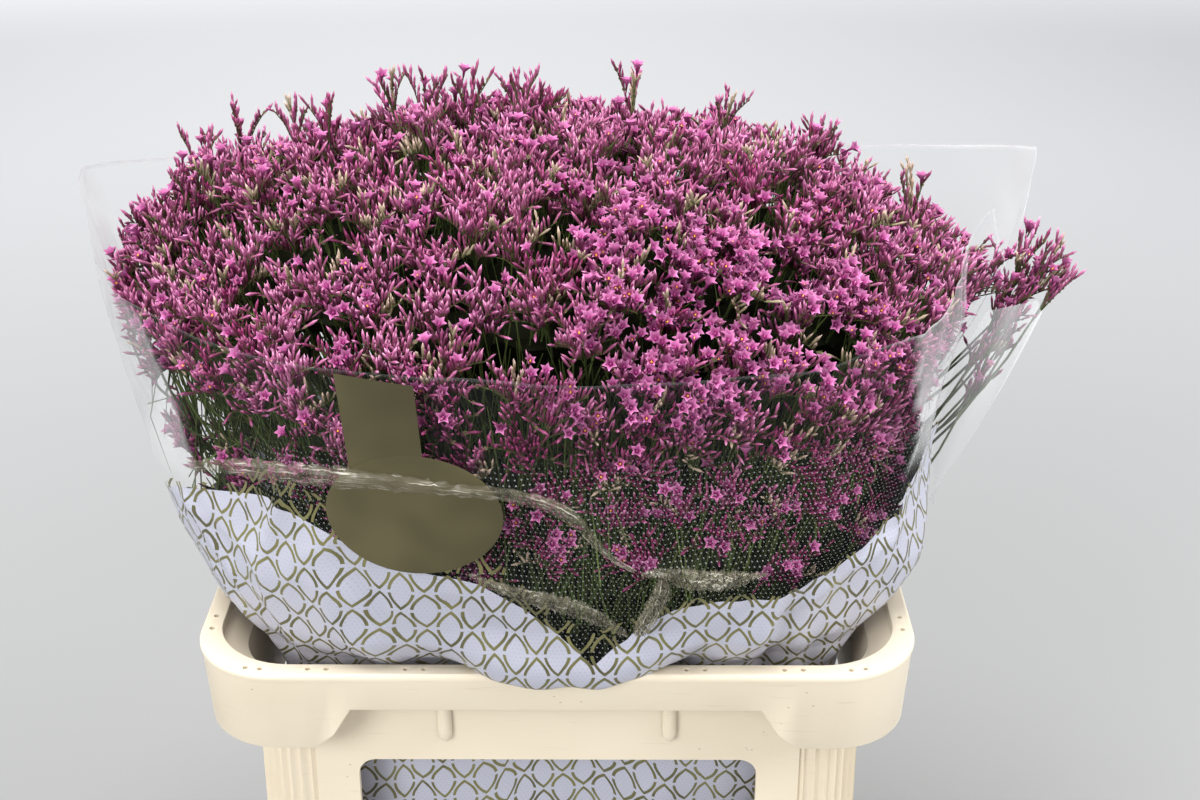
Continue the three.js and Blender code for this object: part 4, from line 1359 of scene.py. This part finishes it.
# Everything that is cut from the collar: its windows and the small holes in its deck
def makeCutter():
    blocks = []
    wallWidth, wallDepth = bucket["wall"][:2]
    for side in (-1, 1):
        blocks.append(windowBlock(side * wallDepth / 2, bucket["frontWindow"] / 2))
        points, faces = windowBlock(side * wallWidth / 2, bucket["sideWindow"] / 2)
        blocks.append(([(y, -x, z) for x, y, z in points], faces))
    for side in (-1, 1):
        blocks += [deckPeg(x, side * bucket["frontHoles"]) for x in bucket["alongFront"]]
        blocks += [deckPeg(side * bucket["sideHoles"], y) for y in bucket["alongSide"]]
        blocks += [deckPeg(side * x, flip * y) for flip in (-1, 1) for x, y in bucket["cornerHoles"]]
    points, faces = [], []
    for block, shape in blocks:
        faces += [[len(points) + i for i in face] for face in shape]
        points += block
    mesh = bpy.data.meshes.new("cutter")
    mesh.from_pydata([tuple(v * mm for v in point) for point in points], [], faces)
    cutter = bpy.data.objects.new("cutter", mesh)
    bpy.context.scene.collection.objects.link(cutter)
    form = bmesh.new()
    form.from_mesh(mesh)
    bmesh.ops.recalc_face_normals(form, faces=form.faces)
    form.to_mesh(mesh)
    form.free()
    return cutter


def cutOut(body, cutter):
    cut = body.modifiers.new("windows", "BOOLEAN")
    cut.solver = "EXACT"
    cut.object = cutter
    bpy.context.view_layer.update()
    result = bpy.data.meshes.new_from_object(body.evaluated_get(bpy.context.evaluated_depsgraph_get()))
    body.modifiers.clear()
    body.data = result
    bpy.data.objects.remove(cutter)


def makeCollar(paint):
    wall, edge, hole = bucket["wall"], bucket["rim"], bucket["deckHole"]
    lowPanel, highPanel = bucket["panel"]
    skirtZ = 350                # its lower edge, before it is drawn down
    outside = [(wall, -10, 152), (wall, -9, 189), (wall, -8.6, 190.2), (wall, 0.6, 190.4),
               (wall, 1, 191.5), (wall, 0.8, lowPanel - 3)]
    panel = [(wall, 0.8, lowPanel), (wall, 0.4, 300), (wall, 0.1, highPanel - 2)]
    underDeck = [(wall, 0, highPanel + 1), (wall, 0, 352), (wall, 1, 374), (wall, 5, 384),
                 (edge, -8, 389), (edge, -8.5, 386)]
    skirt = [(edge, -8.5, skirtZ), (edge, -7.5, skirtZ - 0.4), (edge, -4.5, skirtZ - 0.4),
             (edge, -3.8, skirtZ + 0.6)]
    deck = [(edge, -1.0, 394), (edge, -0.4, 395.5), (edge, 0, 397.2), (edge, -0.1, 398.4),
            (edge, -0.6, 399.4), (edge, -1.5, rim), (hole, 1.2, rim), (hole, 0.4, 399.7),
            (hole, 0, 398.8), (hole, 0, 393)]
    inside = [(wall, 2.0, 384), (wall, -3.5, 368), (wall, -4.5, 352), (wall, -4.5, 203.5),
              (wall, -13.5, 190), (wall, -14.5, 151)]
    loops = loftRows(outside + panel + underDeck + skirt + deck + inside)

    shares = cornerShares()
    flutes = bucket["ribHeight"] * np.abs(np.sin(math.pi * bucket["panelRibs"] * shares)) ** 5
    ends = ease(np.minimum(shares, 1 - shares), 0, 0.03)
    sink = np.where(shares >= 0, ends * (bucket["panelSink"] - flutes), 0)
    start = len(outside)
    for row in range(start, start + len(panel)):
        loops[row, :, :2] -= unit(loops[row, :, :2] * np.array([0.7, 1])) * sink[:, None]

    reach = (np.array(edge[:2]) / 2 - np.abs(outlineLoop(edge))).sum(1)
    blendFrom = bucket["cornerLength"] - 4
    deep = 1 - ease(reach, blendFrom, blendFrom + bucket["dropBlend"])
    drop = bucket["skirtDrop"] + (bucket["cornerDrop"] - bucket["skirtDrop"]) * deep
    start += len(panel) + len(underDeck)
    loops[start:start + len(skirt), :, 2] += rim - drop - skirtZ
    faces = [gridFaces(*loops.shape[:2], True), closingFaces(loops.shape)]
    collar = addMesh("bucketCollar", loops, faces, [paint])
    cutOut(collar, makeCutter())
    collar.data.set_sharp_from_angle(angle=math.radians(bucket["sharpFrom"]))
    dress(collar, "collar")


# Short rounded ribs on the wall under the deck, front and back
def makeLugs(paint):
    wide, deep = bucket["lugSize"]
    t, s = shareGrid(14, 11)
    s = s * math.pi
    end = np.sqrt(np.clip(1 - np.clip((t - 0.87) / 0.13, 0, 1) ** 2, 0.0004, 1))
    for side, back in ((-1, "Front"), (1, "Back")):
        for x, right in ((-bucket["lugs"], "Left"), (bucket["lugs"], "Right")):
            y = side * (bucket["lugWall"] + deep * end * np.sin(s))
            z = bucket["lugTop"] - bucket["lugLength"] * t
            points = np.stack([x + wide * end * np.cos(s), y, z], -1)
            faces = gridFaces(*t.shape)[:, ::side]
            dress(addMesh(f"bucketRib{back}{right}", points, [faces], [paint]), "collar")


def makeTub(paint):
    base, wall = bucket["base"], bucket["wall"]
    floor, top = 4.5, 190
    outside = [(base, -25, 1.5), (base, -6, 1.2), (base, -4, 0), (base, -1.5, 0), (base, -0.3, 0.9),
               (base, 0, 3), (wall, 0.9, 176)]
    bead = [(wall, 1.3, 177.6), (wall, 7.2, 178), (wall, 8, 178.8), (wall, 8, top - 0.8), (wall, 7.4, top)]
    inside = [(wall, -2, top), (wall, -3, top - 1), (base, -4, floor + 0.5), (base, -25, floor)]
    loops = loftRows(outside + bead + inside)
    points = np.concatenate([loops.reshape(-1, 3), [[0, 0, 1.5], [0, 0, floor]]])
    faces = [gridFaces(*loops.shape[:2], True), endFaces(loops.shape)]
    tub = addMesh("bucketTub", points, faces, [paint])
    tub.data.set_sharp_from_angle(angle=math.radians(bucket["sharpFrom"]))
    dress(tub, "tub")


def makeBucket():
    paint = plasticPaint()
    makeCollar(paint)
    makeLugs(paint)
    makeTub(paint)
    print("bucket formed")


makeStatice()
makeBucket()
makeFilm()
makeLabel()
print("triangles:", sum(len(face.vertices) - 2 for held in bpy.data.meshes for face in held.polygons))
